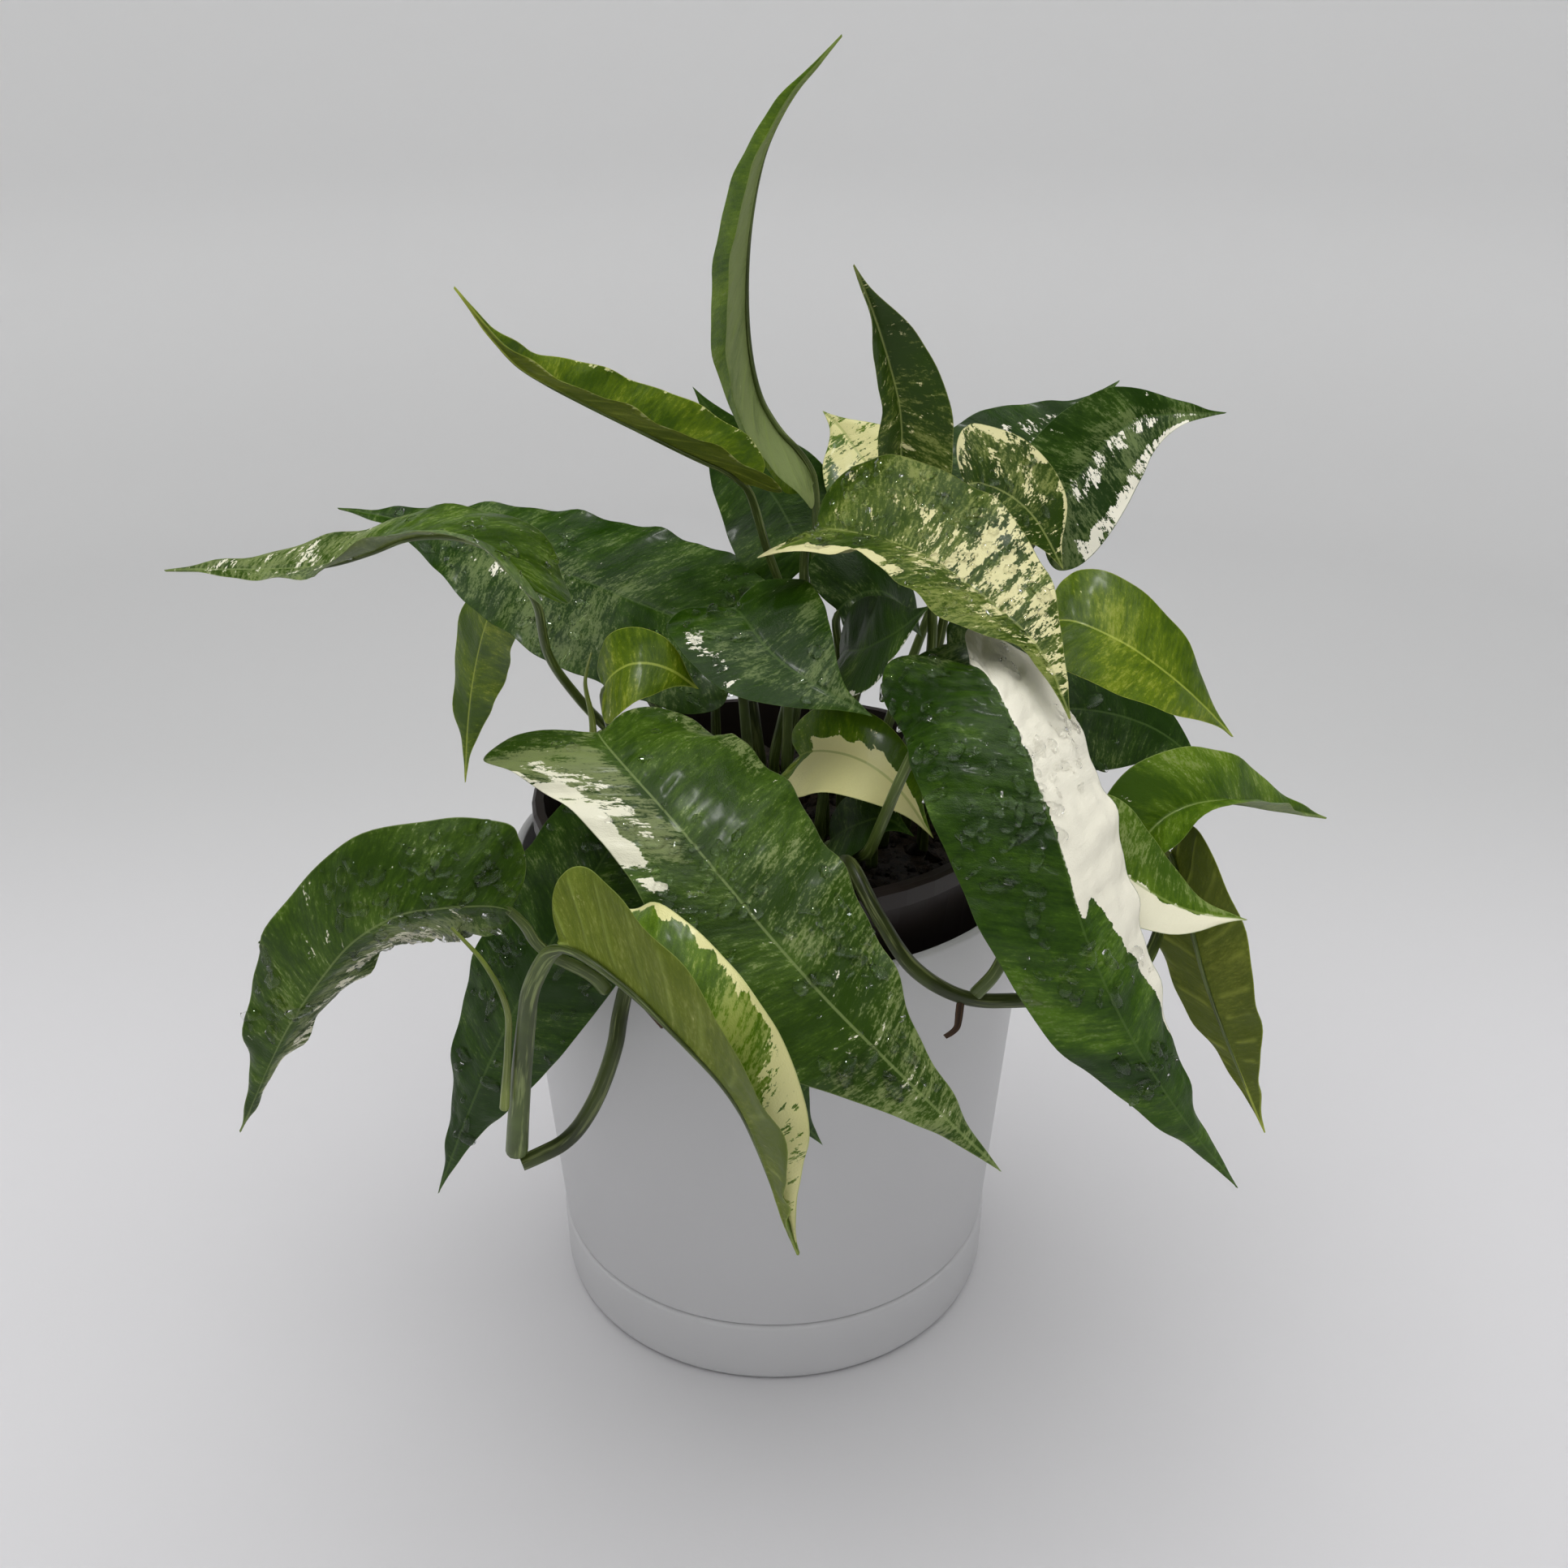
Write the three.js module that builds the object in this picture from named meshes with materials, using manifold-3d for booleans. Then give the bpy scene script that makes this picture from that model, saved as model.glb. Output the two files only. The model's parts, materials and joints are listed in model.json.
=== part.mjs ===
// A long-leaved variegated pothos in a white cover pot. Millimetres, +Z up; the front of the plant
// faces -Y, and the origin is the centre of the flat underside of the base tray.
// Each leaf is one piece with its stalk. Every stalk and blade is a single swept surface: rings of
// ten points run from the foot of the stalk to the tip of the blade, and close to a point at each end.
import * as THREE from "three";
import { mergeVertices } from "three/addons/utils/BufferGeometryUtils.js";
import Module from "manifold-3d";

// ---- driving dimensions ----
const GAP = 0.3; // left between pieces that touch
const COVER_RIM_RADIUS = 82.5;
const COVER_FOOT_RADIUS = 73;
const COVER_HEIGHT = 157.5; // underside of the tray to the rim
const COVER_WALL = 3;
const TRAY_HEIGHT = 23.5;
const TRAY_WALL = 3;
const TRAY_FLOOR = 3;
const TRAY_LIP = 0.5; // how far the tray's rounded lip stands out past the pot's wall
const NURSERY_CLEARANCE = 4.5; // between the nursery pot's rim and the inside of the cover pot
const NURSERY_RISE = 18.5; // how far the nursery pot stands above the cover pot
const NURSERY_WALL = 1.6;
const NURSERY_FOOT_RADIUS = 52;
const NURSERY_BEAD = 2; // how far the rim bead stands out, and
const NURSERY_BEAD_HEIGHT = 7; // how tall it is
const DRAIN_HOLES = 6;
const DRAIN_RADIUS = 5;
const SOIL_DROP = 16; // soil surface below the nursery pot's rim
const VINE_RADIUS = 2.1;
const STALK_FOOT_RADIUS = 1.9;
const STALK_NECK_RADIUS = 1.3;
const BLADE_HALF_THICKNESS = 0.4;
const RIB_DEPTH = 1.2; // the midrib's height under the blade, near the stalk
const DRAWN_RIM_RADIUS = 82.5; // the rim that the plant's points below were measured around

// ---- heights worked out from them ----
const NURSERY_RIM_Z = COVER_HEIGHT + NURSERY_RISE;
const SOIL_Z = NURSERY_RIM_Z - SOIL_DROP;
const COVER_FLOOR_Z = TRAY_FLOOR + GAP;
const NURSERY_FOOT_Z = COVER_FLOOR_Z + COVER_WALL + GAP;
const NURSERY_RIM_RADIUS = COVER_RIM_RADIUS - COVER_WALL - NURSERY_CLEARANCE;
const FOOT_Z = SOIL_Z - NURSERY_RIM_Z + GAP; // where a stalk leaves the soil, from the nursery rim

const wasm = await Module();
wasm.setup();

const plant = new THREE.Group();
plant.position.z = NURSERY_RIM_Z; // the plant's own points count heights from the nursery pot's rim
const part = new THREE.Group();
part.add(plant);

function addMesh(group, name, geometry, color, roughness) {
  const mesh = new THREE.Mesh(
    geometry,
    new THREE.MeshStandardMaterial({ color, roughness, metalness: 0 }),
  );
  mesh.name = name;
  group.add(mesh);
}

// ---- pot, tray, nursery pot and soil: turned about the pot's axis ----
const TURN_SEGMENTS = 48;

function turned(profile) {
  const points = profile.map(([radius, z]) => new THREE.Vector2(radius, z));
  return new THREE.LatheGeometry(points, TURN_SEGMENTS).rotateX(Math.PI / 2);
}

function toSolid(geometry) {
  const bare = geometry.index ? geometry.toNonIndexed() : geometry.clone();
  bare.deleteAttribute("normal");
  bare.deleteAttribute("uv");
  const merged = mergeVertices(bare, 1e-3);
  return new wasm.Manifold(
    new wasm.Mesh({
      numProp: 3,
      vertProperties: merged.attributes.position.array,
      triVerts: new Uint32Array(merged.index.array),
    }),
  );
}

function toGeometry(solid) {
  const mesh = solid.getMesh();
  return new THREE.BufferGeometry()
    .setAttribute("position", new THREE.BufferAttribute(mesh.vertProperties, 3))
    .setIndex(new THREE.BufferAttribute(mesh.triVerts, 1));
}

function coverPot() {
  const skirt = COVER_FOOT_RADIUS - TRAY_WALL - GAP; // the part that stands inside the tray
  const floorTop = COVER_FLOOR_Z + COVER_WALL;
  const edge = COVER_WALL / 4;
  return turned([
    [0, COVER_FLOOR_Z],
    [skirt - 2, COVER_FLOOR_Z],
    [skirt, COVER_FLOOR_Z + 2],
    [skirt, TRAY_HEIGHT + GAP],
    [COVER_FOOT_RADIUS, TRAY_HEIGHT + GAP],
    [COVER_RIM_RADIUS, COVER_HEIGHT - edge],
    [COVER_RIM_RADIUS - edge, COVER_HEIGHT],
    [COVER_RIM_RADIUS - COVER_WALL + edge, COVER_HEIGHT],
    [COVER_RIM_RADIUS - COVER_WALL, COVER_HEIGHT - edge],
    [skirt - COVER_WALL, TRAY_HEIGHT - COVER_WALL],
    [skirt - COVER_WALL, floorTop],
    [0, floorTop],
  ]);
}

function baseTray() {
  const lip = COVER_FOOT_RADIUS + TRAY_LIP;
  return turned([
    [0, 0],
    [lip - 4, 0],
    [lip - 1.2, 1.2],
    [lip - 0.4, 4],
    [lip, TRAY_HEIGHT - 3],
    [lip, TRAY_HEIGHT - 1],
    [lip - 1, TRAY_HEIGHT],
    [COVER_FOOT_RADIUS - TRAY_WALL, TRAY_HEIGHT],
    [COVER_FOOT_RADIUS - TRAY_WALL, TRAY_FLOOR + 2],
    [COVER_FOOT_RADIUS - TRAY_WALL - 2, TRAY_FLOOR],
    [0, TRAY_FLOOR],
  ]);
}

// The radius of the nursery pot's outer wall at a height.
function nurseryRadius(z) {
  const top = NURSERY_RIM_RADIUS - NURSERY_BEAD;
  const share = (z - NURSERY_FOOT_Z) / (NURSERY_RIM_Z - NURSERY_FOOT_Z);
  return NURSERY_FOOT_RADIUS + (top - NURSERY_FOOT_RADIUS) * share;
}

function nurseryPot() {
  const beadFoot = NURSERY_RIM_Z - NURSERY_BEAD_HEIGHT;
  const innerTop = NURSERY_RIM_RADIUS - NURSERY_BEAD - NURSERY_WALL;
  const floorTop = NURSERY_FOOT_Z + NURSERY_WALL;
  let pot = toSolid(
    turned([
      [0, NURSERY_FOOT_Z],
      [NURSERY_FOOT_RADIUS, NURSERY_FOOT_Z],
      [nurseryRadius(beadFoot), beadFoot],
      [NURSERY_RIM_RADIUS, beadFoot + 1],
      [NURSERY_RIM_RADIUS, NURSERY_RIM_Z - 1],
      [NURSERY_RIM_RADIUS - 1, NURSERY_RIM_Z],
      [innerTop, NURSERY_RIM_Z],
      [NURSERY_FOOT_RADIUS - NURSERY_WALL, floorTop],
      [0, floorTop],
    ]),
  );
  for (let i = 0; i < DRAIN_HOLES; i += 1) {
    const turn = (i / DRAIN_HOLES) * 2 * Math.PI;
    const out = NURSERY_FOOT_RADIUS * 0.72;
    const hole = new THREE.CylinderGeometry(DRAIN_RADIUS, DRAIN_RADIUS, 4 * NURSERY_WALL, 16)
      .rotateX(Math.PI / 2)
      .translate(out * Math.cos(turn), out * Math.sin(turn), NURSERY_FOOT_Z);
    pot = pot.subtract(toSolid(hole));
  }
  return toGeometry(pot);
}

function soil() {
  const foot = NURSERY_FOOT_Z + NURSERY_WALL + GAP;
  const inside = (z) => nurseryRadius(z) - NURSERY_WALL - 2 * GAP;
  return turned([
    [0, foot],
    [inside(foot) - 1, foot],
    [inside(SOIL_Z - 3), SOIL_Z - 3],
    [inside(SOIL_Z) - 3, SOIL_Z],
    [0, SOIL_Z],
  ]);
}

addMesh(part, "base_tray", baseTray(), 0xdcdce2, 0.5);
addMesh(part, "cover_pot", coverPot(), 0xdcdce2, 0.5);
addMesh(part, "nursery_pot", nurseryPot(), 0x3a2a26, 0.55);
addMesh(part, "soil", soil(), 0x1f1712, 0.95);

// ---- swept stalks, blades and stems ----
const Z = new THREE.Vector3(0, 0, 1);

// A pot of another width moves what hangs outside its rim along with the rim.
function place([x, y, z]) {
  const out = Math.hypot(x, y);
  const share = THREE.MathUtils.smoothstep(out, 0.3 * DRAWN_RIM_RADIUS, 0.9 * DRAWN_RIM_RADIUS);
  const grown = out ? 1 + ((COVER_RIM_RADIUS - DRAWN_RIM_RADIUS) * share) / out : 1;
  return new THREE.Vector3(x * grown, y * grown, z);
}

// A route through points, with its length measured so that it can be followed in millimetres.
function route(points) {
  const STEPS = 40;
  const curve = new THREE.CatmullRomCurve3(points, false, "centripetal");
  const count = (points.length - 1) * STEPS;
  const spots = curve.getPoints(count);
  const lengths = [0];
  for (let i = 1; i <= count; i += 1) {
    lengths.push(lengths[i - 1] + spots[i].distanceTo(spots[i - 1]));
  }
  const total = lengths[count];
  const at = (length) => {
    const want = THREE.MathUtils.clamp(length, 0, total);
    let i = 1;
    while (i < count && lengths[i] < want) i += 1;
    const share = (want - lengths[i - 1]) / (lengths[i] - lengths[i - 1]);
    return spots[i - 1].clone().lerp(spots[i], share);
  };
  const along = (length, reach = 1) => {
    const a = at(THREE.MathUtils.clamp(length - reach, 0, total - 2 * reach));
    const b = at(THREE.MathUtils.clamp(length + reach, 2 * reach, total));
    return b.sub(a).normalize();
  };
  return { at, along, total, lengthTo: (index) => lengths[index * STEPS] };
}

// A closed skin over rings of points, with one end point before the first and after the last. The
// four-sided faces from the ring's point turnedFrom on are split along their other diagonal.
function skin(first, rings, last, turnedFrom = Infinity) {
  const side = rings[0].length;
  const points = [first, ...rings.flat(), last];
  const index = [];
  const at = (ring, k) => 1 + ring * side + (k % side);
  for (let k = 0; k < side; k += 1) {
    index.push(0, at(0, k), at(0, k + 1));
    for (let r = 0; r + 1 < rings.length; r += 1) {
      const [a, b, c, d] = [at(r, k), at(r, k + 1), at(r + 1, k), at(r + 1, k + 1)];
      index.push(...(k < turnedFrom ? [a, c, b, b, c, d] : [a, c, d, a, d, b]));
    }
    index.push(points.length - 1, at(rings.length - 1, k + 1), at(rings.length - 1, k));
  }
  return new THREE.BufferGeometry().setFromPoints(points).setIndex(index);
}

// Directions across a path: side points right and up points out of the upper face.
function squareTo(along, up) {
  const across = new THREE.Vector3().crossVectors(along, up).normalize();
  return { side: across, up: new THREE.Vector3().crossVectors(across, along) };
}

// A round ring of the given angles, so that its points line up with the blade's.
function roundRing(centre, frame, radius, angles) {
  return angles.map((angle) =>
    centre
      .clone()
      .addScaledVector(frame.side, radius * Math.cos(angle))
      .addScaledVector(frame.up, radius * Math.sin(angle)),
  );
}

// A tapering stem of round section through the points.
function stem(name, points, radii, color, sides = 8, steps = 14) {
  const path = route(points.map(place));
  const angles = Array.from({ length: sides }, (_, k) => (2 * Math.PI * k) / sides);
  const rings = [];
  let up = new THREE.Vector3(0.3, 0.2, 1);
  for (let i = 0; i < steps; i += 1) {
    const share = i / (steps - 1);
    const length = 0.3 + share * (path.total - 0.6);
    const frame = squareTo(path.along(length), up);
    const radius = THREE.MathUtils.lerp(radii[0], radii[1], share);
    rings.push(roundRing(path.at(length), frame, radius, angles));
    up = frame.up;
  }
  addMesh(plant, name, skin(path.at(0), rings, path.at(path.total)), color, 0.5);
}

// Half of a blade's outline, from the notch at the stalk round the lobe to the tip: where each side
// vein leaves the midrib, then where it meets the margin, along (share of the length) and across
// (share of the half width).
const VEINS = [
  [0, -0.02, 0.07],
  [0.02, -0.09, 0.32],
  [0.05, -0.11, 0.58],
  [0.09, -0.06, 0.82],
  [0.15, 0.03, 0.95],
  [0.24, 0.14, 1],
  [0.36, 0.28, 0.97],
  [0.49, 0.43, 0.86],
  [0.62, 0.58, 0.68],
  [0.745, 0.72, 0.47],
  [0.855, 0.84, 0.26],
  [0.935, 0.93, 0.1],
];
const ACROSS = [1, 2 / 3, 1 / 3, 0, -1 / 3, -2 / 3, -1, -2 / 3, 0, 2 / 3]; // round one ring
const UNDERSIDE_FROM = 7; // the ring's points from here on are under the blade
const RING_ANGLES = [0, 30, 60, 90, 120, 150, 180, 225, 270, 315].map(THREE.MathUtils.degToRad);
const STALK_RINGS = 7;
const BLADE_REACH = 7; // a blade turns with the mean direction of this much midrib either way

// One leaf. stalk: points from the foot to just below the blade; rib: points of the midrib from the
// stalk to the tip; face: where the upper side looks, at the stalk and at the tip; width: across
// both halves; fold: degrees by which the left and right halves rise (droop, if negative) from the
// midrib; curl: degrees by which each half bends up further towards its margin; lobe: how large the
// lobes are beside the stalk; waist: the share of each half's width that is left past its lobe.
function leaf(
  name,
  { stalk, rib, face, width, fold, curl = [0, 0], lobe = 1, waist = [1, 1], color = 0x3f6b2c },
) {
  const path = route([...stalk, ...rib].map(place));
  const base = path.lengthTo(stalk.length);
  const bladeLength = path.total - base;
  const faces = face.map((way) => new THREE.Vector3(...way).normalize());
  const rad = THREE.MathUtils.degToRad;
  const smoothstep = THREE.MathUtils.smoothstep;

  const frameAt = (y) => {
    const share = THREE.MathUtils.clamp(y / bladeLength, 0, 1);
    const up = faces[0].clone().lerp(faces[faces.length - 1], share);
    if (faces.length === 3) {
      const half = share < 0.5 ? 0 : 1;
      up.copy(faces[half]).lerp(faces[half + 1], 2 * share - half);
    }
    return squareTo(path.along(base + Math.max(y, BLADE_REACH), BLADE_REACH), up);
  };
  const ribAt = (y) =>
    y >= 0
      ? path.at(base + y)
      : path.at(base).addScaledVector(path.along(base + BLADE_REACH, BLADE_REACH), y);

  // A point of the blade: x across the flattened leaf, y along it, lift off its middle surface.
  const bladePoint = (x, y, lift) => {
    const { side, up } = frameAt(y);
    const hand = x < 0 ? -1 : 1;
    const which = x < 0 ? 0 : 1;
    const start = rad(fold[which]);
    const bend = rad(curl[which]) / (width / 2);
    const reach = Math.abs(x);
    const end = start + bend * reach;
    const middle = (start + end) / 2;
    const normal = up.clone().multiplyScalar(Math.cos(end)).addScaledVector(side, -hand * Math.sin(end));
    if (reach === 0) normal.copy(up);
    return ribAt(y)
      .addScaledVector(side, hand * reach * Math.cos(middle))
      .addScaledVector(up, reach * Math.sin(middle))
      .addScaledVector(normal, lift);
  };

  const rings = [];
  const stalkEnd = base - 0.03 * bladeLength - 2;
  let up = frameAt(0).up;
  for (let i = STALK_RINGS - 1; i >= 0; i -= 1) {
    const share = i / (STALK_RINGS - 1);
    const length = Math.max(share * stalkEnd, 0.2);
    const frame = squareTo(path.along(length), up);
    const radius = THREE.MathUtils.lerp(STALK_FOOT_RADIUS, STALK_NECK_RADIUS, share);
    rings.unshift(roundRing(path.at(length), frame, radius, RING_ANGLES));
    up = frame.up;
  }
  VEINS.forEach(([leaves, meets, reach], vein) => {
    const drawnIn = smoothstep(meets, -0.06, 0.1) * (1 - smoothstep(meets, 0.3, 0.6));
    const halves = waist.map((kept) => ((reach * width) / 2) * (1 - (1 - kept) * drawnIn));
    const marginY = (meets < 0 ? lobe * meets : meets) * bladeLength;
    const thin = Math.min(1, Math.min(...halves) / 5);
    const ribShare = 1 - leaves;
    rings.push(
      ACROSS.map((q, k) => {
        const under = k >= UNDERSIDE_FROM;
        const onMargin = Math.abs(q) === 1;
        let lift = BLADE_HALF_THICKNESS * thin * (under ? -1 : 1);
        if (onMargin) lift = 0;
        if (q === 0 && under) lift = -(BLADE_HALF_THICKNESS + RIB_DEPTH * ribShare) * thin;
        if (vein === 0 && q === 0) lift = under ? -STALK_NECK_RADIUS : STALK_NECK_RADIUS / 2;
        const y = THREE.MathUtils.lerp(leaves * bladeLength, marginY, Math.abs(q));
        return bladePoint(q * halves[q < 0 ? 0 : 1], y, lift);
      }),
    );
  });
  // A thin blade's two sides are split alike, so that they stay apart where it twists.
  const surface = skin(path.at(0), rings, path.at(path.total), UNDERSIDE_FROM - 1);
  addMesh(plant, name, surface, color, 0.4);
}

// The first points of a stalk that leaves the soil upright.
const fromSoil = (x, y) => [
  [x, y, FOOT_Z],
  [x, y, FOOT_Z + 10],
];

const DARK = 0x1f3d1c;
const MID = 0x3f6b2c;
const YOUNG = 0x8aa82a;
const MARBLED = 0x7f9a5a;

// ---- leaves over the front rim ----
leaf("leaf_front_large", {
  stalk: [...fromSoil(-16, -38), [-32, -54, 30]],
  rib: [[-44, -76, 51], [-20, -110, 39], [10, -135, 13], [38, -146, -13], [55, -148, -31]],
  face: [[0.1, -0.7, 0.7], [0.1, -0.8, 0.5]],
  width: 71,
  fold: [-18, 4],
  curl: [-15, -3],
  lobe: 0.8,
  waist: [1, 0.5],
});
leaf("leaf_front_white_half", {
  stalk: [...fromSoil(22, -42), [26, -55, 4], [31, -67, 24], [38, -70, 45]],
  rib: [[52, -62, 64], [67, -98, 43], [79, -122, 9], [98, -128, -24], [120, -125, -55]],
  face: [[0.35, -0.8, 0.5], [0.4, -0.9, 0.2]],
  width: 56,
  fold: [-15, -25],
  curl: [-15, -20],
});
leaf("leaf_front_curled", {
  stalk: [[-66, -117, -49], [-65, -119, -42], [-59, -130, -6], [-54, -137, 16]],
  rib: [[-47, -141, 27], [-38, -150, 29], [-24, -161, 23], [-15, -167, 16], [-7, -168, 5], [7, -154, -51]],
  face: [[0.83, -0.04, 0.55], [0.8, -0.35, 0.4], [0.58, -0.82, 0]],
  width: 38,
  fold: [60, 60],
  lobe: 0.4,
  color: YOUNG,
});
leaf("leaf_left_front", {
  stalk: [[-43, -98, -12], [-46, -101, -6], [-57, -109, 7]],
  rib: [[-63, -113.5, 20], [-74, -120.5, 25], [-93, -121, 21], [-116, -118, -5], [-140, -110, -49]],
  face: [[0.15, -0.8, 0.5], [0.15, -0.85, 0.45]],
  width: 44,
  fold: [-70, -5],
  lobe: 0.3,
});
leaf("leaf_left_dark", {
  stalk: [...fromSoil(-34, -34), [-36, -46, 10]],
  rib: [[-39, -58, 17], [-49, -74, 7], [-63, -84, -14], [-79, -87, -46], [-97, -84, -91]],
  face: [[-0.2, -0.8, 0.5], [-0.3, -0.9, 0.3]],
  width: 44,
  fold: [-10, -10],
  lobe: 0.4,
  color: DARK,
});
leaf("leaf_front_low", {
  stalk: [...fromSoil(-6, -48), [-10, -62, 8], [-12, -76, 9]],
  rib: [[-11, -88, 0], [-2, -100, -24], [3, -104, -41], [14, -100, -61]],
  face: [[0.1, -0.7, 0.6], [0.1, -0.95, 0.3]],
  width: 34,
  fold: [-10, -10],
  color: DARK,
});

// ---- leaves on the left ----
leaf("leaf_left_arching", {
  stalk: [...fromSoil(-28, -16), [-36, -22, 17], [-50, -29, 35], [-61, -42, 60]],
  rib: [[-63, -50, 81], [-75, -45, 92], [-93, -40, 93], [-121, -35, 83], [-167, -30, 80]],
  face: [[0.2, 0.25, 0.95], [0, -0.35, 0.95]],
  width: 48,
  fold: [10, 10],
  lobe: 0.6,
});
leaf("leaf_back_left_broad", {
  stalk: [...fromSoil(-18, 12), [-18, 8, 26]],
  rib: [[-18, 6, 46], [-42, 16, 55], [-71, 30, 62], [-106, 44, 70], [-141, 52, 75]],
  face: [[0, -0.2, 1], [0, -0.2, 1]],
  width: 72,
  fold: [-5, 12],
  curl: [-10, -10],
  color: DARK,
});
leaf("leaf_back_left_drooping", {
  stalk: [...fromSoil(-30, 30), [-52, 46, 28], [-76, 57, 45]],
  rib: [[-88, 60, 50], [-99, 66, 30], [-107, 68, 2], [-111, 64, -29]],
  face: [[-0.4, -0.5, 0.7], [-0.5, -0.7, 0.3]],
  width: 36,
  fold: [-5, -5],
  lobe: 0.6,
});
leaf("leaf_young_left", {
  stalk: [...fromSoil(-36, -30), [-43, -36, 24]],
  rib: [[-46, -42, 50], [-38, -45, 58], [-29, -45, 57], [-20, -43, 50]],
  face: [[-0.2, -0.5, 0.8], [-0.2, -0.6, 0.7]],
  width: 28,
  fold: [0, 0],
  lobe: 0.6,
  color: YOUNG,
});

// ---- leaves in the middle ----
leaf("leaf_centre_small", {
  stalk: [...fromSoil(-6, -14), [-9, -16, 40]],
  rib: [[-11, -25, 67], [1, -45, 60], [13, -55, 55], [27, -60, 49]],
  face: [[0.1, -0.6, 0.8], [0.1, -0.6, 0.8]],
  width: 44,
  fold: [5, 5],
  color: DARK,
});
leaf("leaf_upright_tall", {
  stalk: [...fromSoil(4, 20), [12, 30, 50]],
  rib: [[12, 34, 88], [-4, 28, 113], [-8, 18, 149], [0, 4, 190], [18, -6, 213]],
  face: [[-0.9, -0.3, 0.3], [-0.95, -0.2, 0.1]],
  width: 34,
  fold: [30, 30],
  lobe: 0.2,
});
leaf("leaf_upper_left", {
  stalk: [...fromSoil(4, 4), [4, 10, 54], [-4, 0, 84]],
  rib: [[-8, -5, 98], [-25, -15, 110], [-49, -30, 126], [-64, -42, 138], [-76, -52, 158]],
  face: [[0.3, -0.2, 0.9], [0.3, -0.2, 0.9]],
  width: 31,
  fold: [35, 35],
  lobe: 0.6,
  color: YOUNG,
});
leaf("leaf_back_centre", {
  stalk: [...fromSoil(0, 32), [8, 40, 30]],
  rib: [[10, 42, 58], [2, 54, 75], [-11, 62, 90], [-26, 66, 111]],
  face: [[0.2, -0.9, 0.3], [0.2, -0.9, 0.3]],
  width: 42,
  fold: [5, 5],
  lobe: 0.5,
  color: DARK,
});
leaf("leaf_upright_pointed", {
  stalk: [...fromSoil(34, -10), [48, 0, 45], [44, 16, 78]],
  rib: [[39, 22, 90], [38, 26, 111], [32, 25, 132], [23, 14, 155]],
  face: [[0.5, -0.75, 0.35], [0.5, -0.75, 0.35]],
  width: 32,
  fold: [30, 30],
  lobe: 0.4,
  color: MARBLED,
});
leaf("leaf_back_cream", {
  stalk: [...fromSoil(22, 32), [34, 42, 45]],
  rib: [[38, 45, 81], [28, 60, 90], [22, 68, 97], [16, 72, 102]],
  face: [[0, -0.9, 0.4], [0, -0.9, 0.4]],
  width: 36,
  fold: [5, 5],
  color: MARBLED,
});
leaf("leaf_inner_dark", {
  stalk: [...fromSoil(14, -18), [18, -13, 26]],
  rib: [[20, -9, 46], [26, -28, 56], [34, -44, 67], [41, -60, 80]],
  face: [[-0.3, -0.7, 0.6], [-0.3, -0.7, 0.6]],
  width: 34,
  fold: [5, 5],
  lobe: 0.6,
  color: DARK,
});
leaf("leaf_inner_cream", {
  stalk: [...fromSoil(2, -30), [6, -30, 10]],
  rib: [[8, -33, 25], [22, -46, 31], [33, -54, 27], [45, -57, 11]],
  face: [[0.1, -0.7, 0.7], [0.1, -0.7, 0.7]],
  width: 31,
  fold: [5, 5],
  color: MARBLED,
});
leaf("leaf_inner_grey", {
  stalk: [...fromSoil(22, 12), [21, 12, 36]],
  rib: [[20, 8, 55], [30, 12, 60], [39, 19, 54], [47, 24, 41]],
  face: [[0.1, -0.6, 0.8], [0.1, -0.6, 0.8]],
  width: 38,
  fold: [5, 5],
  lobe: 0.5,
  color: DARK,
});
leaf("leaf_inner_low", {
  stalk: [...fromSoil(12, -36), [14, -38, -4]],
  rib: [[17, -41, 2], [24, -47, 10], [32, -51, 14], [40, -54, 10]],
  face: [[0, -0.5, 0.9], [0, -0.7, 0.7]],
  width: 22,
  fold: [5, 5],
  lobe: 0.5,
  color: DARK,
});

// ---- leaves on the right ----
leaf("leaf_marbled_large", {
  stalk: [...fromSoil(16, -4), [13, 2, 23], [11, 0, 51], [9, -3, 73]],
  rib: [[12, -10, 85], [29, -21, 86.5], [42, -32, 84.5], [57, -46, 77], [70, -60, 68], [77, -74, 54]],
  face: [[0.1, -0.4, 0.9], [0.4, -0.6, 0.6]],
  width: 64,
  fold: [10, 15],
  lobe: 0.35,
  waist: [1, 0.5],
  color: MARBLED,
});
leaf("leaf_back_right_dark", {
  stalk: [...fromSoil(34, 28), [54, 46, 50]],
  rib: [[66, 60, 77], [81, 78, 86], [102, 95, 93], [120, 108, 105]],
  face: [[-0.1, -0.6, 0.8], [-0.1, -0.6, 0.8]],
  width: 44,
  fold: [10, 10],
  color: DARK,
});
leaf("leaf_back_right_white_edge", {
  stalk: [...fromSoil(44, 14), [68, 26, 50]],
  rib: [[85, 38, 72], [97, 50, 86], [116, 64, 100], [149, 74, 101]],
  face: [[0.3, -0.7, 0.65], [0.3, -0.7, 0.65]],
  width: 38,
  fold: [10, 10],
});
leaf("leaf_marbled_round", {
  stalk: [...fromSoil(42, 2), [54, 14, 60]],
  rib: [[59, 28, 88], [68, 31, 87], [79, 28, 80], [89, 18, 65]],
  face: [[0.2, -0.6, 0.75], [0.4, -0.6, 0.6]],
  width: 44,
  fold: [5, 5],
  lobe: 0.5,
  color: MARBLED,
});
leaf("leaf_right_grey", {
  stalk: [...fromSoil(30, -24), [42, -22, 30]],
  rib: [[50, -22, 55], [60, -30, 53], [70, -37, 47], [79, -42, 37]],
  face: [[0.1, -0.6, 0.8], [0.3, -0.6, 0.7]],
  width: 34,
  fold: [5, 5],
  color: DARK,
});
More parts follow.
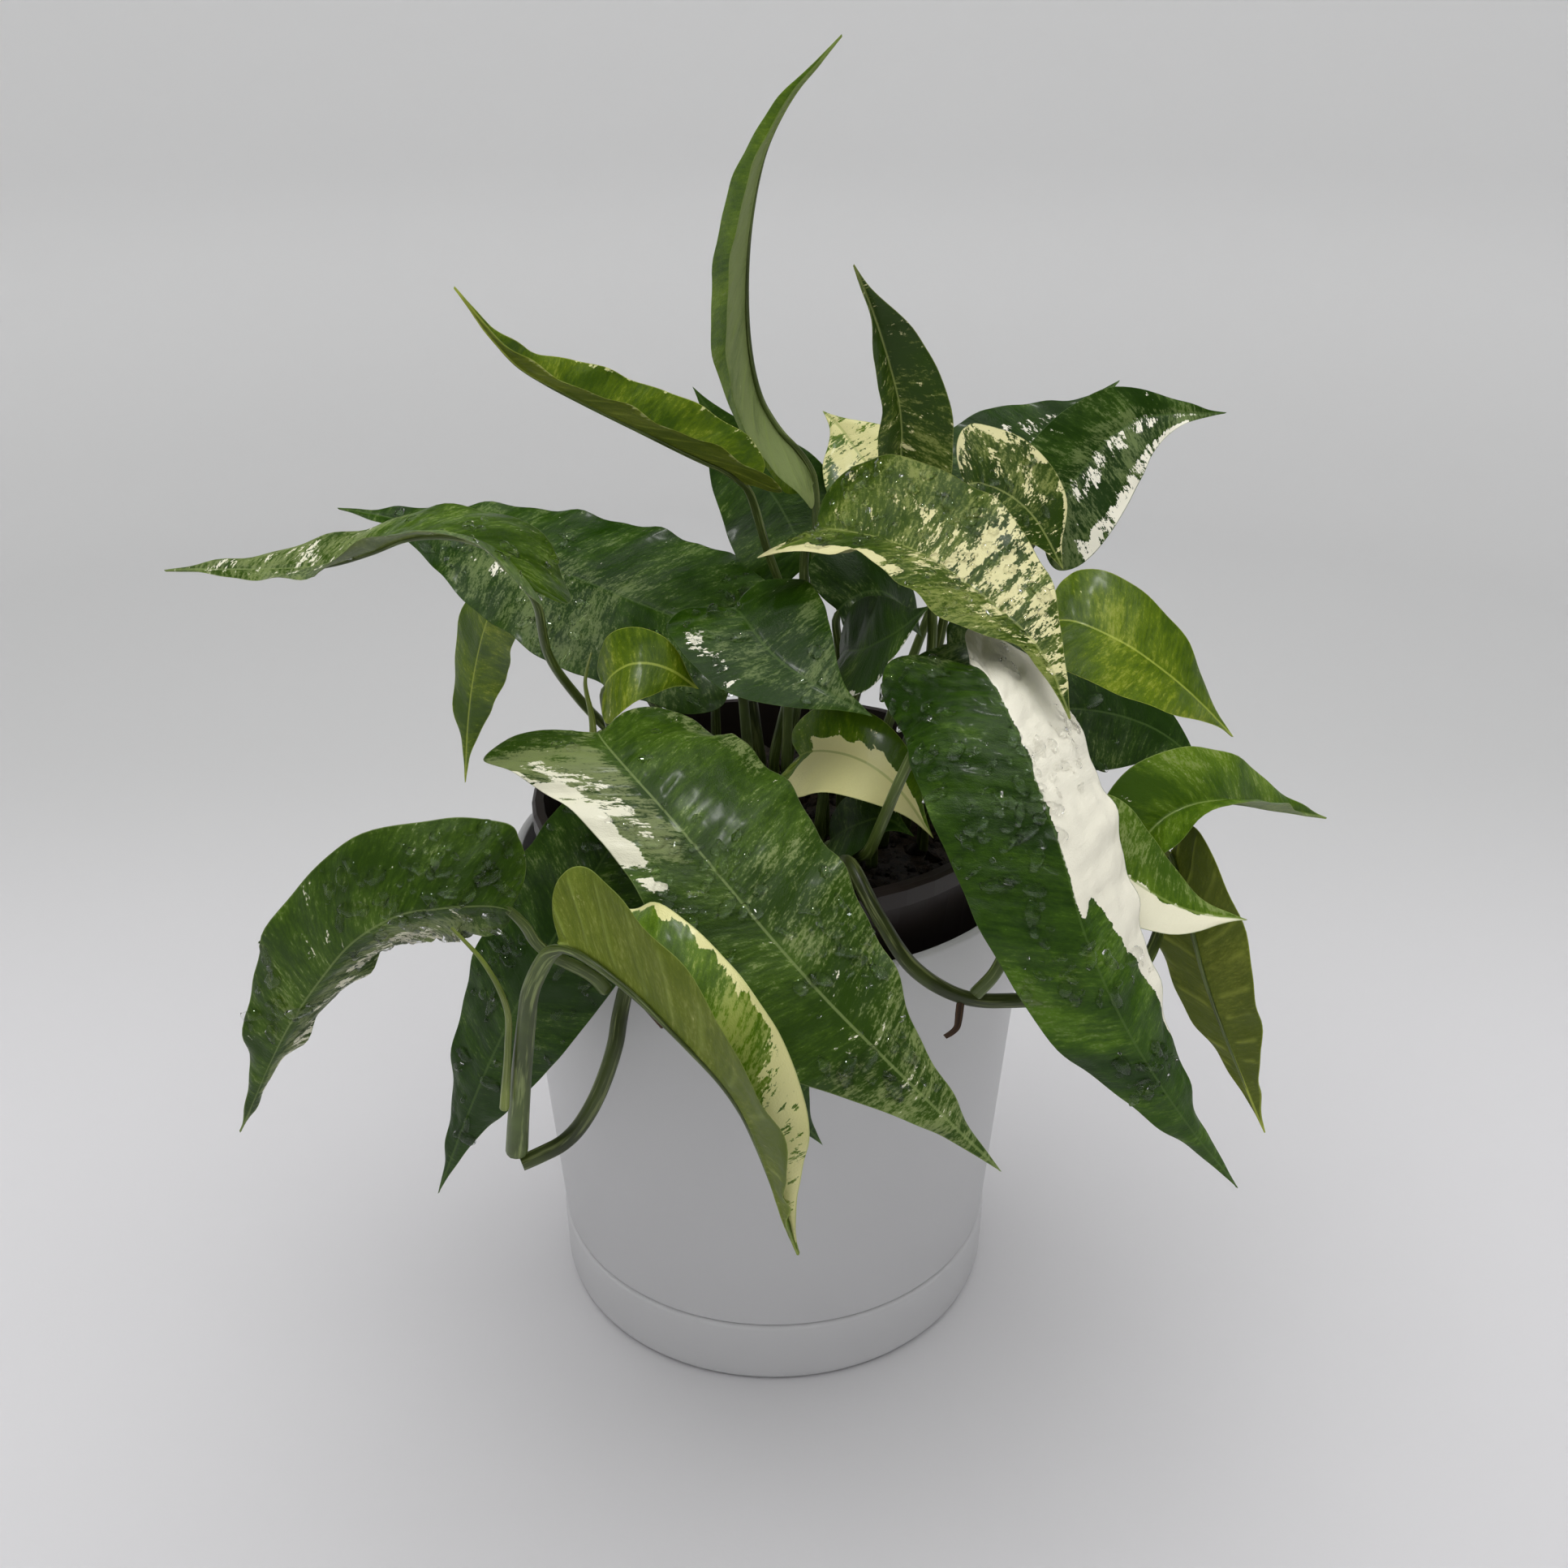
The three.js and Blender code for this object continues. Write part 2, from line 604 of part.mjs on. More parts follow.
leaf("leaf_right_yellow_green", {
  stalk: [...fromSoil(46, -14), [62, -22, 36]],
  rib: [[80, -22, 62], [95, -28, 60], [114, -32, 48], [133, -30, 30]],
  face: [[0.3, -0.5, 0.8], [0.3, -0.5, 0.8]],
  width: 44,
  fold: [5, 5],
  lobe: 0.4,
  color: YOUNG,
});
leaf("leaf_right_dark", {
  stalk: [...fromSoil(48, 2), [68, 2, 18]],
  rib: [[87, 2, 25], [104, 4, 23], [120, 4, 17], [134, 0, 7]],
  face: [[0.2, -0.6, 0.75], [0.2, -0.6, 0.75]],
  width: 42,
  fold: [0, 0],
  color: DARK,
});
leaf("leaf_right_folded", {
  stalk: [[98, -73, -17], [99, -72, -12], [101, -66, 0]],
  rib: [[102, -62, 12], [110, -58, 19], [124, -52, 20], [141, -42, 13], [163, -32, 5]],
  face: [[0, -0.3, 0.95], [0, -0.3, 0.95]],
  width: 34,
  fold: [40, 40],
  lobe: 0.5,
});
leaf("leaf_right_white_edge", {
  stalk: [[54, -94, -16], [57, -95, -12], [70, -88, 14]],
  rib: [[80, -82, 26], [92, -88, 16], [108, -90, 7], [125, -88, 3]],
  face: [[0.1, -0.5, 0.85], [0.1, -0.5, 0.85]],
  width: 30,
  fold: [5, 5],
});
leaf("leaf_right_yellow_rib", {
  stalk: [[104, -70, -22], [107, -66, -19], [112, -56, -10]],
  rib: [[113, -52, 4], [116, -62, -6], [123, -68, -29], [147, -66, -83]],
  face: [[0.6, 0.6, 0.4], [0.6, 0.6, 0.1]],
  width: 34,
  fold: [5, 5],
  lobe: 0.4,
  color: YOUNG,
});

// ---- stems ----
const VINE = 0x55682f;
const ROOT = 0x8a6a3c;
stem(
  "vine_left",
  [
    [-18, -48, FOOT_Z + 0.5], [-18, -50, FOOT_Z + 8], [-19, -62, 9], [-25, -79, 7], [-35, -93, -5],
    [-39, -98, -17], [-41, -104, -27], [-47, -110, -41], [-54, -112, -50], [-65, -116, -54],
  ],
  [VINE_RADIUS, VINE_RADIUS],
  VINE,
  8,
  26,
);
stem(
  "vine_right",
  [
    [18, -46, FOOT_Z + 0.5], [18, -50, FOOT_Z + 8], [21, -64, 7], [28, -79, 0], [38, -88, -12],
    [51, -91, -19], [67, -88, -22], [86, -81, -24], [101, -74, -23],
  ],
  [VINE_RADIUS, VINE_RADIUS],
  VINE,
  8,
  24,
);
stem(
  "new_shoot_left",
  [[-66, -127, -28], [-63, -131, -8], [-62, -133, 5], [-66, -135, 19], [-73, -133, 27]],
  [1.2, 0.4],
  YOUNG,
);
stem("aerial_root_left", [[-36, -98, -12], [-33, -103, -13], [-28, -105, -19]], [1, 0.6], ROOT, 6, 5);
stem("aerial_root_right", [[50, -94, -22], [49, -97, -25], [46, -98, -27]], [1, 0.7], ROOT, 6, 5);
stem("stem_left", [[-26, -4, FOOT_Z], [-27, -5, FOOT_Z + 10], [-30, -8, 16]], [3, 2.2], VINE, 8, 8);
stem("stem_centre", [[-4, 6, FOOT_Z], [-4, 6, FOOT_Z + 12], [-7, 4, 28]], [3, 2.2], VINE, 8, 8);
stem("stem_right", [[26, -10, FOOT_Z], [27, -10, FOOT_Z + 12], [31, -12, 22]], [3, 2.2], VINE, 8, 8);
stem("leaf_sheath", [[-49, -50, 34], [-49, -50, 44], [-50, -52, 56], [-48, -52, 64]], [1.2, 0.3], YOUNG, 8, 8);

export default part;
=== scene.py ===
"""A variegated, long-leaved pothos in a white cover pot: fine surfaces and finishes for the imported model.

Lengths are in metres unless a name ends in _mm. Leaves, stalks and shoots follow the rings of points of
their CAD nodes; the turned pots follow their nodes' sections.
"""

import json
import math
from collections import namedtuple

import bmesh
import bpy
import numpy as np
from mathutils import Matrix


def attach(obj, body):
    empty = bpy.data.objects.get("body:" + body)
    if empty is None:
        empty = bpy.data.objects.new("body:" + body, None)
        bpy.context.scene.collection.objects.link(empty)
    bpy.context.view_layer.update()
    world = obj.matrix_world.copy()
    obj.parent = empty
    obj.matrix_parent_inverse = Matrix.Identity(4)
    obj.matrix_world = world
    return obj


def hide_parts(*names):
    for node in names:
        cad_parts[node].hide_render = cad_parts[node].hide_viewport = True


bl_info = {
    "name": "Potted pothos",
    "version": (1, 0, 0),
    "blender": (4, 5, 0),
    "location": "View3D > Sidebar > Pothos",
    "description": "Builds a variegated pothos plant with its pots, soil and water drops",
    "category": "Object",
}

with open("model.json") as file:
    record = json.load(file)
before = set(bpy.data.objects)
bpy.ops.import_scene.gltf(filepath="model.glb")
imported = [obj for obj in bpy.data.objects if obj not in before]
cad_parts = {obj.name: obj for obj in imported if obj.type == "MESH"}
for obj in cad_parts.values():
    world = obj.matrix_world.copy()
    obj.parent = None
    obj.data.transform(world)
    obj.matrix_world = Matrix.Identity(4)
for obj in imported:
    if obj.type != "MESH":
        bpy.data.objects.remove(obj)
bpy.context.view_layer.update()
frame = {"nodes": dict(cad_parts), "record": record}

MM = 0.001
WELD = 1e-5  # points of a CAD mesh closer than this are one
STALK_RINGS = 7  # rings of a leaf that belong to its stalk; the rest are its blade
TOP = slice(0, 7)  # a blade ring's points over the top, from the right margin to the left one


# ---- sizes and colours that a user would change ----
class LeafSettings(bpy.types.PropertyGroup):
    thickness: bpy.props.FloatProperty(
        name="Thickness", description="Blade between its veins", default=0.55 * MM,
        min=0.2 * MM, max=1.5 * MM, unit="LENGTH", precision=5)
    mesh_step: bpy.props.FloatProperty(
        name="Mesh step", description="Size of one face of a blade", default=1.15 * MM,
        min=0.5 * MM, max=5 * MM, unit="LENGTH", precision=5)
    vein_spacing: bpy.props.FloatProperty(
        name="Vein spacing", description="Between side veins, along the midrib", default=8.5 * MM,
        min=3 * MM, max=20 * MM, unit="LENGTH", precision=5)
    rib_height: bpy.props.FloatProperty(
        name="Rib radius", description="Midrib under the blade, at the stalk", default=1.15 * MM,
        min=0.3 * MM, max=3 * MM, unit="LENGTH", precision=5)


class PotSettings(bpy.types.PropertyGroup):
    segments: bpy.props.IntProperty(
        name="Segments", description="Faces round a turned pot", default=160, min=24, max=256)
    plastic: bpy.props.FloatVectorProperty(
        name="Cover pot", description="Colour of the cover pot and tray", subtype="COLOR_GAMMA",
        size=3, default=(0.80, 0.80, 0.803), min=0, max=1)
    nursery: bpy.props.FloatVectorProperty(
        name="Nursery pot", description="Colour of the inner pot", subtype="COLOR_GAMMA",
        size=3, default=(0.165, 0.125, 0.115), min=0, max=1)


class WaterSettings(bpy.types.PropertyGroup):
    smallest: bpy.props.FloatProperty(
        name="Smallest drop", description="Radius", default=0.7 * MM, min=0.1 * MM,
        max=2 * MM, unit="LENGTH", precision=5)
    largest: bpy.props.FloatProperty(
        name="Largest drop", description="Radius", default=2.5 * MM, min=0.3 * MM,
        max=4 * MM, unit="LENGTH", precision=5)
    seed: bpy.props.IntProperty(name="Seed", description="Where the drops fall", default=3)


class SoilSettings(bpy.types.PropertyGroup):
    crumb: bpy.props.FloatProperty(
        name="Crumb", description="Largest crumb's radius", default=2.6 * MM, min=0.5 * MM,
        max=8 * MM, unit="LENGTH", precision=5)
    crumbs: bpy.props.IntProperty(
        name="Crumbs", description="Number of loose crumbs", default=1500, min=50, max=5000)
    seed: bpy.props.IntProperty(name="Seed", description="Where the crumbs lie", default=11)


class StageSettings(bpy.types.PropertyGroup):
    # The floor's own colour, kept near the pot; behind the pot the paper is greyed with painted shade.
    floor: bpy.props.FloatVectorProperty(
        name="Floor", description="Colour near the pot", subtype="COLOR_GAMMA",
        size=3, default=(0.862, 0.857, 0.868), min=0, max=1)
    wall: bpy.props.FloatVectorProperty(
        name="Wall", description="Colour of the backdrop", subtype="COLOR_GAMMA",
        size=3, default=(0.865, 0.865, 0.867), min=0, max=1)
    radius: bpy.props.FloatProperty(
        name="Stage radius", description="Where the floor turns up into the wall",
        default=0.95, min=0.8, max=3, unit="LENGTH")
    lens: bpy.props.FloatProperty(
        name="Lens", description="Focal length in mm on a 36 mm sensor", default=36.1, min=18, max=120)


# ---- meshes ----
def new_object(name, vertices, faces):
    mesh = bpy.data.meshes.new(name)
    mesh.from_pydata([tuple(v) for v in vertices], [], [tuple(f) for f in faces])
    mesh.polygons.foreach_set("use_smooth", [True] * len(mesh.polygons))
    mesh.update()
    made = bpy.data.objects.new(name, mesh)
    bpy.context.scene.collection.objects.link(made)
    return made


def finish_piece(piece, slot, *nodes):
    """Puts a finished piece on the only body, and hides the CAD nodes that it takes the place of."""
    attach(piece, "root")
    if nodes:
        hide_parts(*nodes)


def slot_of(node):
    return next(s["material_slot"] for s in frame["record"]["subparts"] if s["node"] == node)


def through(rows, where):
    """Points of the smooth curve through the rows of an array, at places counted in rows."""
    before = 2 * rows[:1] - rows[1:2]
    after = 2 * rows[-1:] - rows[-2:-1]
    padded = np.concatenate([before, rows, after])
    cell = np.clip(np.floor(where).astype(int), 0, len(rows) - 2)
    t = (where - cell).reshape((-1,) + (1,) * (rows.ndim - 1))
    a, b, c, d = (padded[cell + k] for k in range(4))
    curve = 2 * b + (c - a) * t + (2 * a - 5 * b + 4 * c - d) * t**2
    return 0.5 * (curve + (3 * b - a - 3 * c + d) * t**3)


def unit(vectors):
    length = np.linalg.norm(vectors, axis=-1, keepdims=True)
    return vectors / np.maximum(length, 1e-12)


def lumps(rng, u, v):
    """Smooth random heights between -1 and 1 over a plane, one lump to each unit of u and v."""
    side = 64
    heights = rng.uniform(-1, 1, (side, side))
    iu, iv = np.floor(u).astype(int), np.floor(v).astype(int)
    fu, fv = u - iu, v - iv
    fu, fv = fu * fu * (3 - 2 * fu), fv * fv * (3 - 2 * fv)

    def corner(a, b):
        return heights[(iu + a) % side, (iv + b) % side]

    low = corner(0, 0) * (1 - fu) + corner(1, 0) * fu
    high = corner(0, 1) * (1 - fu) + corner(1, 1) * fu
    return low * (1 - fv) + high * fv


def step(low, high, x):
    t = np.clip((x - low) / (high - low), 0, 1)
    return t * t * (3 - 2 * t)


# ---- reading a swept CAD node ----
def onward(vertex, seen):
    return [e.other_vert(vertex) for e in vertex.link_edges if e.other_vert(vertex) not in seen]


def walk_rings(foot):
    """The rings of vertices from an end point of a swept mesh on, and the point that closes it.

    A leaf's rings start at the point of its right margin, which alone has one edge to the next ring."""
    after = {}
    for face in foot.link_faces:
        loop = next(lo for lo in face.loops if lo.vert is foot)
        after[loop.link_loop_next.vert] = loop.link_loop_next.link_loop_next.vert
    seen = {foot, *after}
    ring = [min(after, key=lambda v: (len(onward(v, seen)), v.index))]
    while len(ring) < len(after):
        ring.append(after[ring[-1]])
    rings = [ring]
    while True:
        edge = next(e for e in ring[0].link_edges if e.other_vert(ring[0]) is ring[1])
        first = next(v for f in edge.link_faces for v in f.verts if v not in seen)
        beside = [v for v in onward(ring[1], seen) if v in onward(first, seen)]
        if not beside:
            return rings, first
        following = [first, beside[0]]
        ahead = {v for point in ring for v in onward(point, seen)}
        while len(following) < len(ring):
            near = onward(following[-1], seen)
            following.append(next(v for v in near if v in ahead and v not in following))
        ring = following
        rings.append(ring)
        seen.update(ring)


def read_sweep(node, foot_first):
    """A swept node's foot, rings and tip as arrays; foot_first says whether the rings start at its foot."""
    bm = bmesh.new()
    bm.from_mesh(frame["nodes"][node].data)
    bmesh.ops.remove_doubles(bm, verts=bm.verts, dist=WELD)
    bm.verts.index_update()
    ends = [v for v in bm.verts if is_end(v)]
    if len(ends) != 2:
        raise RuntimeError(f"{node} has {len(ends)} end points, not 2")
    for end in ends:
        rings, last = walk_rings(end)
        points = np.array([[tuple(v.co) for v in ring] for ring in rings])
        if foot_first(points):
            foot, tip = np.array(end.co), np.array(last.co)
            bm.free()
            return foot, points, tip
    bm.free()
    raise RuntimeError(f"{node}: no end of it looks like its foot")


def is_end(vertex):
    """Whether faces fan out from this vertex to a ring whose points all have few edges."""
    around = [e.other_vert(vertex) for e in vertex.link_edges]
    edges = sum(len(v.link_edges) for v in around)
    return edges == 5 * len(around) and max(len(v.link_edges) for v in around) <= 6


def spread(ring):
    return np.linalg.norm(ring - ring.mean(0), axis=1).max()


def leaf_starts_here(points):
    return spread(points[3]) < spread(points[-4])


def stem_starts_here(points):
    return spread(points[0]) >= spread(points[-1]) - 1e-6


# ---- tubes: stalks, ribs and shoots ----
def smooth_run(centres, sides, radii, where):
    """A tube's centre line, its side and up directions and its radii, at places counted in rows."""
    line = through(centres, where)
    forward = unit(np.gradient(line, axis=0))
    sides = unit(through(sides, where))
    sides = unit(sides - forward * (sides * forward).sum(1, keepdims=True))
    return line, sides, np.cross(sides, forward), through(radii[:, None], where)[:, 0]


def band_faces(rows, around, first=0):
    """Faces between closed rows of vertices, the first of which starts at vertex first."""
    faces = []
    for row in range(rows - 1):
        low, high = first + row * around, first + (row + 1) * around
        for k in range(around):
            n = (k + 1) % around
            faces.append((low + k, high + k, high + n, low + n))
    return faces


def tube(centres, sides, ups, radii, around=16, groove=0.0, ridges=0.0):
    """Vertices and faces of a closed tube; groove hollows its upper side, ridges run along it."""
    angles = np.arange(around) / around * 2 * math.pi
    hollow = 1 - groove * np.exp(-(((angles - math.pi / 2) / 0.45) ** 2))
    ribbed = 1 + ridges * np.cos(5 * angles)
    reach = (hollow * ribbed)[None, :, None] * radii[:, None, None]
    across = np.cos(angles)[None, :, None] * sides[:, None, :]
    over = np.sin(angles)[None, :, None] * ups[:, None, :]
    skin = centres[:, None, :] + reach * (across + over)
    rows = len(centres)
    vertices = np.concatenate([skin.reshape(-1, 3), centres[:1], centres[-1:]])
    faces = band_faces(rows, around)
    first, last = rows * around, rows * around + 1
    for k in range(around):
        n = (k + 1) % around
        faces.append((first, k, n))
        faces.append((last, last - 1 - around + n, last - 1 - around + k))
    return vertices, faces


def tube_map(centres, around):
    """Millimetres round and along a tube, for each of its vertices."""
    along = np.concatenate([[0], np.cumsum(np.linalg.norm(np.diff(centres, axis=0), axis=1))])
    u, v = np.meshgrid(np.arange(around) / around * 10, along / MM)
    ends = [[0, 0], [0, along[-1] / MM]]
    return np.concatenate([np.stack([u, v], -1).reshape(-1, 2), ends])


# ---- leaves ----
Patch = namedtuple("Patch", "kind side along strength slant", defaults=(1.0, 0.0))
# A patch of pale tissue: kind is cream or sage; side runs from margin to margin, from -1 at the left
# to 1 at the right of a leaf whose tip points at you; along runs from 0 at the stalk to 1 at the tip;
# strength 1 fills it, 0.5 covers half of it, and more than CLEAN also makes its edges even; slant moves
# its inner edge out to the right on the way.
CLEAN = 2
Look = namedtuple("Look", "finish cream sage quilt wave wet tone patches stout", defaults=(0, 0, (), 1))
# finish names the palette; cream and sage are the shares of fine marbling all over; quilt and wave are
# the height of the blade's puckers and of its wavy margin in mm; wet is how thickly drops lie on it;
# tone is lighter above 0 and darker below; stout thickens the stalk.
LEAVES = {
    "leaf_front_large": Look("marbled", -0.1, 0.08, 0.34, 1.1, 1.0, -0.1, (
        Patch("sage", (-1.2, -0.07), (0.08, 0.31), 0.80), Patch("cream", (-1.2, -0.68), (0.16, 0.40), 1.0),
        Patch("cream", (-0.80, -0.30), (0.10, 0.28), 0.52), Patch("sage", (-1.1, -0.1), (-0.1, 0.10), 0.36),
        # The sage patch over the right half, from 0.42 to 0.72 along, is partly grey-green tissue and partly
        # a painted sheen of the light overhead.
        Patch("sage", (0.06, 1.1), (0.42, 0.72), 0.34), Patch("sage", (-1.1, 1.1), (0.70, 1.0), 0.44),
        Patch("cream", (-0.3, 0.4), (0.55, 0.95), 0.12), Patch("sage", (0.80, 1.2), (-0.1, 0.3), 0.5))),
    "leaf_front_white_half": Look("dark", -0.3, 0.0, 0.55, 0.8, 0.9, 0.3, (
        Patch("cream", (0.04, 1.3), (-0.2, 0.44), 2.5), Patch("cream", (0.04, 1.3), (0.36, 0.74), 2.5, 2.6),
        Patch("sage", (-1.2, -0.5), (-0.2, 0.02), 0.6))),
    "leaf_front_curled": Look("cream_edged", -0.1, 0.10, 0.22, 0.8, 0, 0.3, (
        Patch("cream", (0.25, 1.2), (0.50, 0.95), 0.70), Patch("cream", (0.88, 1.2), (0.0, 1.0), 0.9),
        Patch("sage", (0.0, 1.0), (0.35, 0.9), 0.45)), 1.55),
    "leaf_left_front": Look("marbled", 0.0, 0.12, 0.40, 1.2, 0.7, -0.05, (
        Patch("cream", (0.45, 1.2), (0.2, 0.95), 0.42), Patch("sage", (0.2, 1.2), (0.1, 1.0), 0.55))),
    "leaf_left_dark": Look("dark", -0.2, 0.05, 0.55, 0.8, 0.7, -0.25),
    "leaf_front_low": Look("dark", -0.2, 0.05, 0.25, 0.6, 0, -0.2),
    "leaf_left_arching": Look("marbled", 0.0, 0.16, 0.25, 0.8, 0.1, 0.4, (
        Patch("cream", (-0.9, 0.6), (0.55, 0.95), 0.30), Patch("sage", (-1.1, 1.1), (0.5, 1.0), 0.50))),
    "leaf_back_left_broad": Look("dark", -0.1, 0.18, 0.30, 1.0, 0.3, 0.1, (
        Patch("sage", (-0.2, 0.9), (0.25, 0.75), 0.45), Patch("cream", (0.1, 0.45), (0.40, 0.62), 0.36))),
    "leaf_back_left_drooping": Look("olive", -0.2, 0.08, 0.2, 1.0, 0, 0.1),
    "leaf_young_left": Look("olive", -0.1, 0.16, 0.2, 0.6, 0, 0.4),
    "leaf_centre_small": Look("dark", -0.1, 0.16, 0.30, 1.0, 0.6, 0.15, (
        Patch("sage", (-0.6, 0.9), (0.25, 0.95), 0.42), Patch("cream", (-0.9, -0.6), (0.15, 0.5), 0.4))),
    "leaf_upright_tall": Look("green", -0.2, 0.05, 0.15, 0.3, 0, 0.7),
    "leaf_upper_left": Look("olive", -0.2, 0.08, 0.15, 0.7, 0, 0.3, (
        Patch("cream", (0.94, 1.2), (0.0, 0.8), 0.42), Patch("cream", (-1.2, -0.94), (0.0, 0.8), 0.42))),
    "leaf_back_centre": Look("dark", -0.2, 0.06, 0.2, 0.8, 0, 0.1),
    "leaf_upright_pointed": Look("cream_marbled", 0.12, 0.20, 0.22, 0.8, 0, -0.6),
    "leaf_back_cream": Look("cream_edged", 0.60, 0.20, 0.15, 0.6, 0, 0.2),
    "leaf_inner_dark": Look("dark", -0.2, 0.02, 0.2, 0.6, 0, -0.4, (
        Patch("cream", (-1.2, -0.9), (0.0, 1.0), 0.6),)),
    "leaf_inner_cream": Look("cream_edged", 0.0, 0.10, 0.15, 0.6, 0, -0.1, (
        Patch("cream", (-1.2, 0.30), (0.1, 1.1), 1.5),)),
    "leaf_inner_grey": Look("dark", -0.2, 0.20, 0.2, 0.6, 0, -0.3),
    "leaf_inner_low": Look("dark", -0.2, 0.10, 0.2, 0.5, 0, -0.3),
    "leaf_marbled_large": Look("cream_marbled", 0.10, 0.20, 0.22, 1.0, 0.7, 0.3, (
        Patch("cream", (-0.1, 1.2), (0.42, 0.98), 0.50), Patch("cream", (-1.2, -0.76), (0.0, 0.42), 1.3),
        Patch("cream", (-0.5, 0.5), (0.30, 0.9), 0.36), Patch("sage", (-1.2, 1.2), (0.2, 1.0), 0.34))),
    "leaf_back_right_dark": Look("dark", 0.0, 0.16, 0.2, 0.8, 0, 0.0, (
        Patch("cream", (-0.1, 0.5), (0.3, 0.9), 0.36),)),
    "leaf_back_right_white_edge": Look("dark", 0.0, 0.22, 0.2, 0.8, 0, 0.0, (
        Patch("cream", (-1.2, -0.72), (0.1, 0.85), 0.62), Patch("cream", (-0.35, 0.0), (0.2, 0.9), 0.40),
        Patch("sage", (-1.2, 0.3), (0.0, 1.0), 0.50))),
    "leaf_marbled_round": Look("cream_marbled", 0.20, 0.30, 0.2, 0.8, 0.2, -0.2, (
        Patch("cream", (0.86, 1.2), (0.0, 1.0), 0.62),)),
    "leaf_right_grey": Look("dark", -0.1, 0.24, 0.2, 0.8, 0, -0.1),
    "leaf_right_yellow_green": Look("olive", -0.1, 0.14, 0.25, 0.8, 0, 0.45),
    "leaf_right_dark": Look("dark", -0.2, 0.12, 0.35, 0.8, 0.2, -0.2),
    "leaf_right_folded": Look("green", -0.1, 0.14, 0.3, 1.0, 0, 0.1, (
        Patch("sage", (-1.2, 0.0), (0.4, 1.0), 0.4),)),
    "leaf_right_white_edge": Look("green", -0.1, 0.16, 0.2, 0.6, 0, 0.1, (
        Patch("cream", (-1.2, -0.05), (0.0, 1.0), 1.4), Patch("sage", (0.3, 1.2), (0.0, 1.0), 0.4))),
    "leaf_right_yellow_rib": Look("olive", -0.3, 0.05, 0.25, 0.8, 0, -0.2),
}


class Blade:
    """The fine upper surface of a leaf: rows from stalk to tip, columns from its left to right margin."""

    def __init__(self, node, settings):
        self.foot, self.rings, self.tip = read_sweep(node, leaf_starts_here)
        top = self.rings[STALK_RINGS:, TOP][:, ::-1]
        rows = np.concatenate([top, np.repeat(self.tip[None, None], 7, axis=1)])
        length = np.linalg.norm(np.diff(rows[:, 3], axis=0), axis=1).sum()
        half = np.linalg.norm(np.diff(top[5, 3:], axis=0), axis=1).sum()
        per_row = int(np.clip(round(length / 12 / settings.mesh_step), 4, 14))
        columns = int(np.clip(round(half / settings.mesh_step), 8, 34))
        share = np.linspace(0, 1, columns + 1)
        share = np.append(share[:-1], [1 - 0.25 / columns, 1])
        left = through(rows[:, 3::-1].swapaxes(0, 1), 3 * share).swapaxes(0, 1)
        right = through(rows[:, 3:].swapaxes(0, 1), 3 * share).swapaxes(0, 1)
        wide = np.concatenate([left[:, :0:-1], right], axis=1)
        self.place = np.linspace(0, 12 - 0.5 / per_row, 12 * per_row)
        self.surface = self.draw_out_tip(through(wide, self.place))
        self.q = np.concatenate([share[:0:-1], -share])
        self.middle = len(share) - 1
        self.length = length
        self.measure()

    def draw_out_tip(self, points):
        """The surface with its last quarter narrowed to a long point."""
        middle = points.shape[1] // 2
        spine = points[:, middle : middle + 1]
        share = np.linspace(0, 1, len(points))
        kept = 1 - 0.42 * step(0.66, 0.88, share)
        return spine + (points - spine) * kept[:, None, None]

    def measure(self):
        """Distances over the surface in mm: u across from the midrib, v along it, edge to the margin."""
        points = self.surface
        gaps = np.linalg.norm(np.diff(points, axis=1), axis=2)
        run = np.concatenate([np.zeros((len(points), 1)), np.cumsum(gaps, axis=1)], axis=1) / MM
        self.u = run[:, self.middle : self.middle + 1] - run
        self.edge = np.where(self.u > 0, self.u[:, :1] - self.u, self.u - self.u[:, -1:])
        ups = np.linalg.norm(np.diff(points[:, self.middle], axis=0), axis=1)
        along = np.concatenate([[0], np.cumsum(ups)]) / MM
        self.v = np.repeat(along[:, None], points.shape[1], axis=1)
        self.s = self.v / (self.length / MM)
        run_u = np.gradient(points, axis=1)
        run_v = np.gradient(points, axis=0)
        self.normal = unit(np.cross(run_u, run_v))


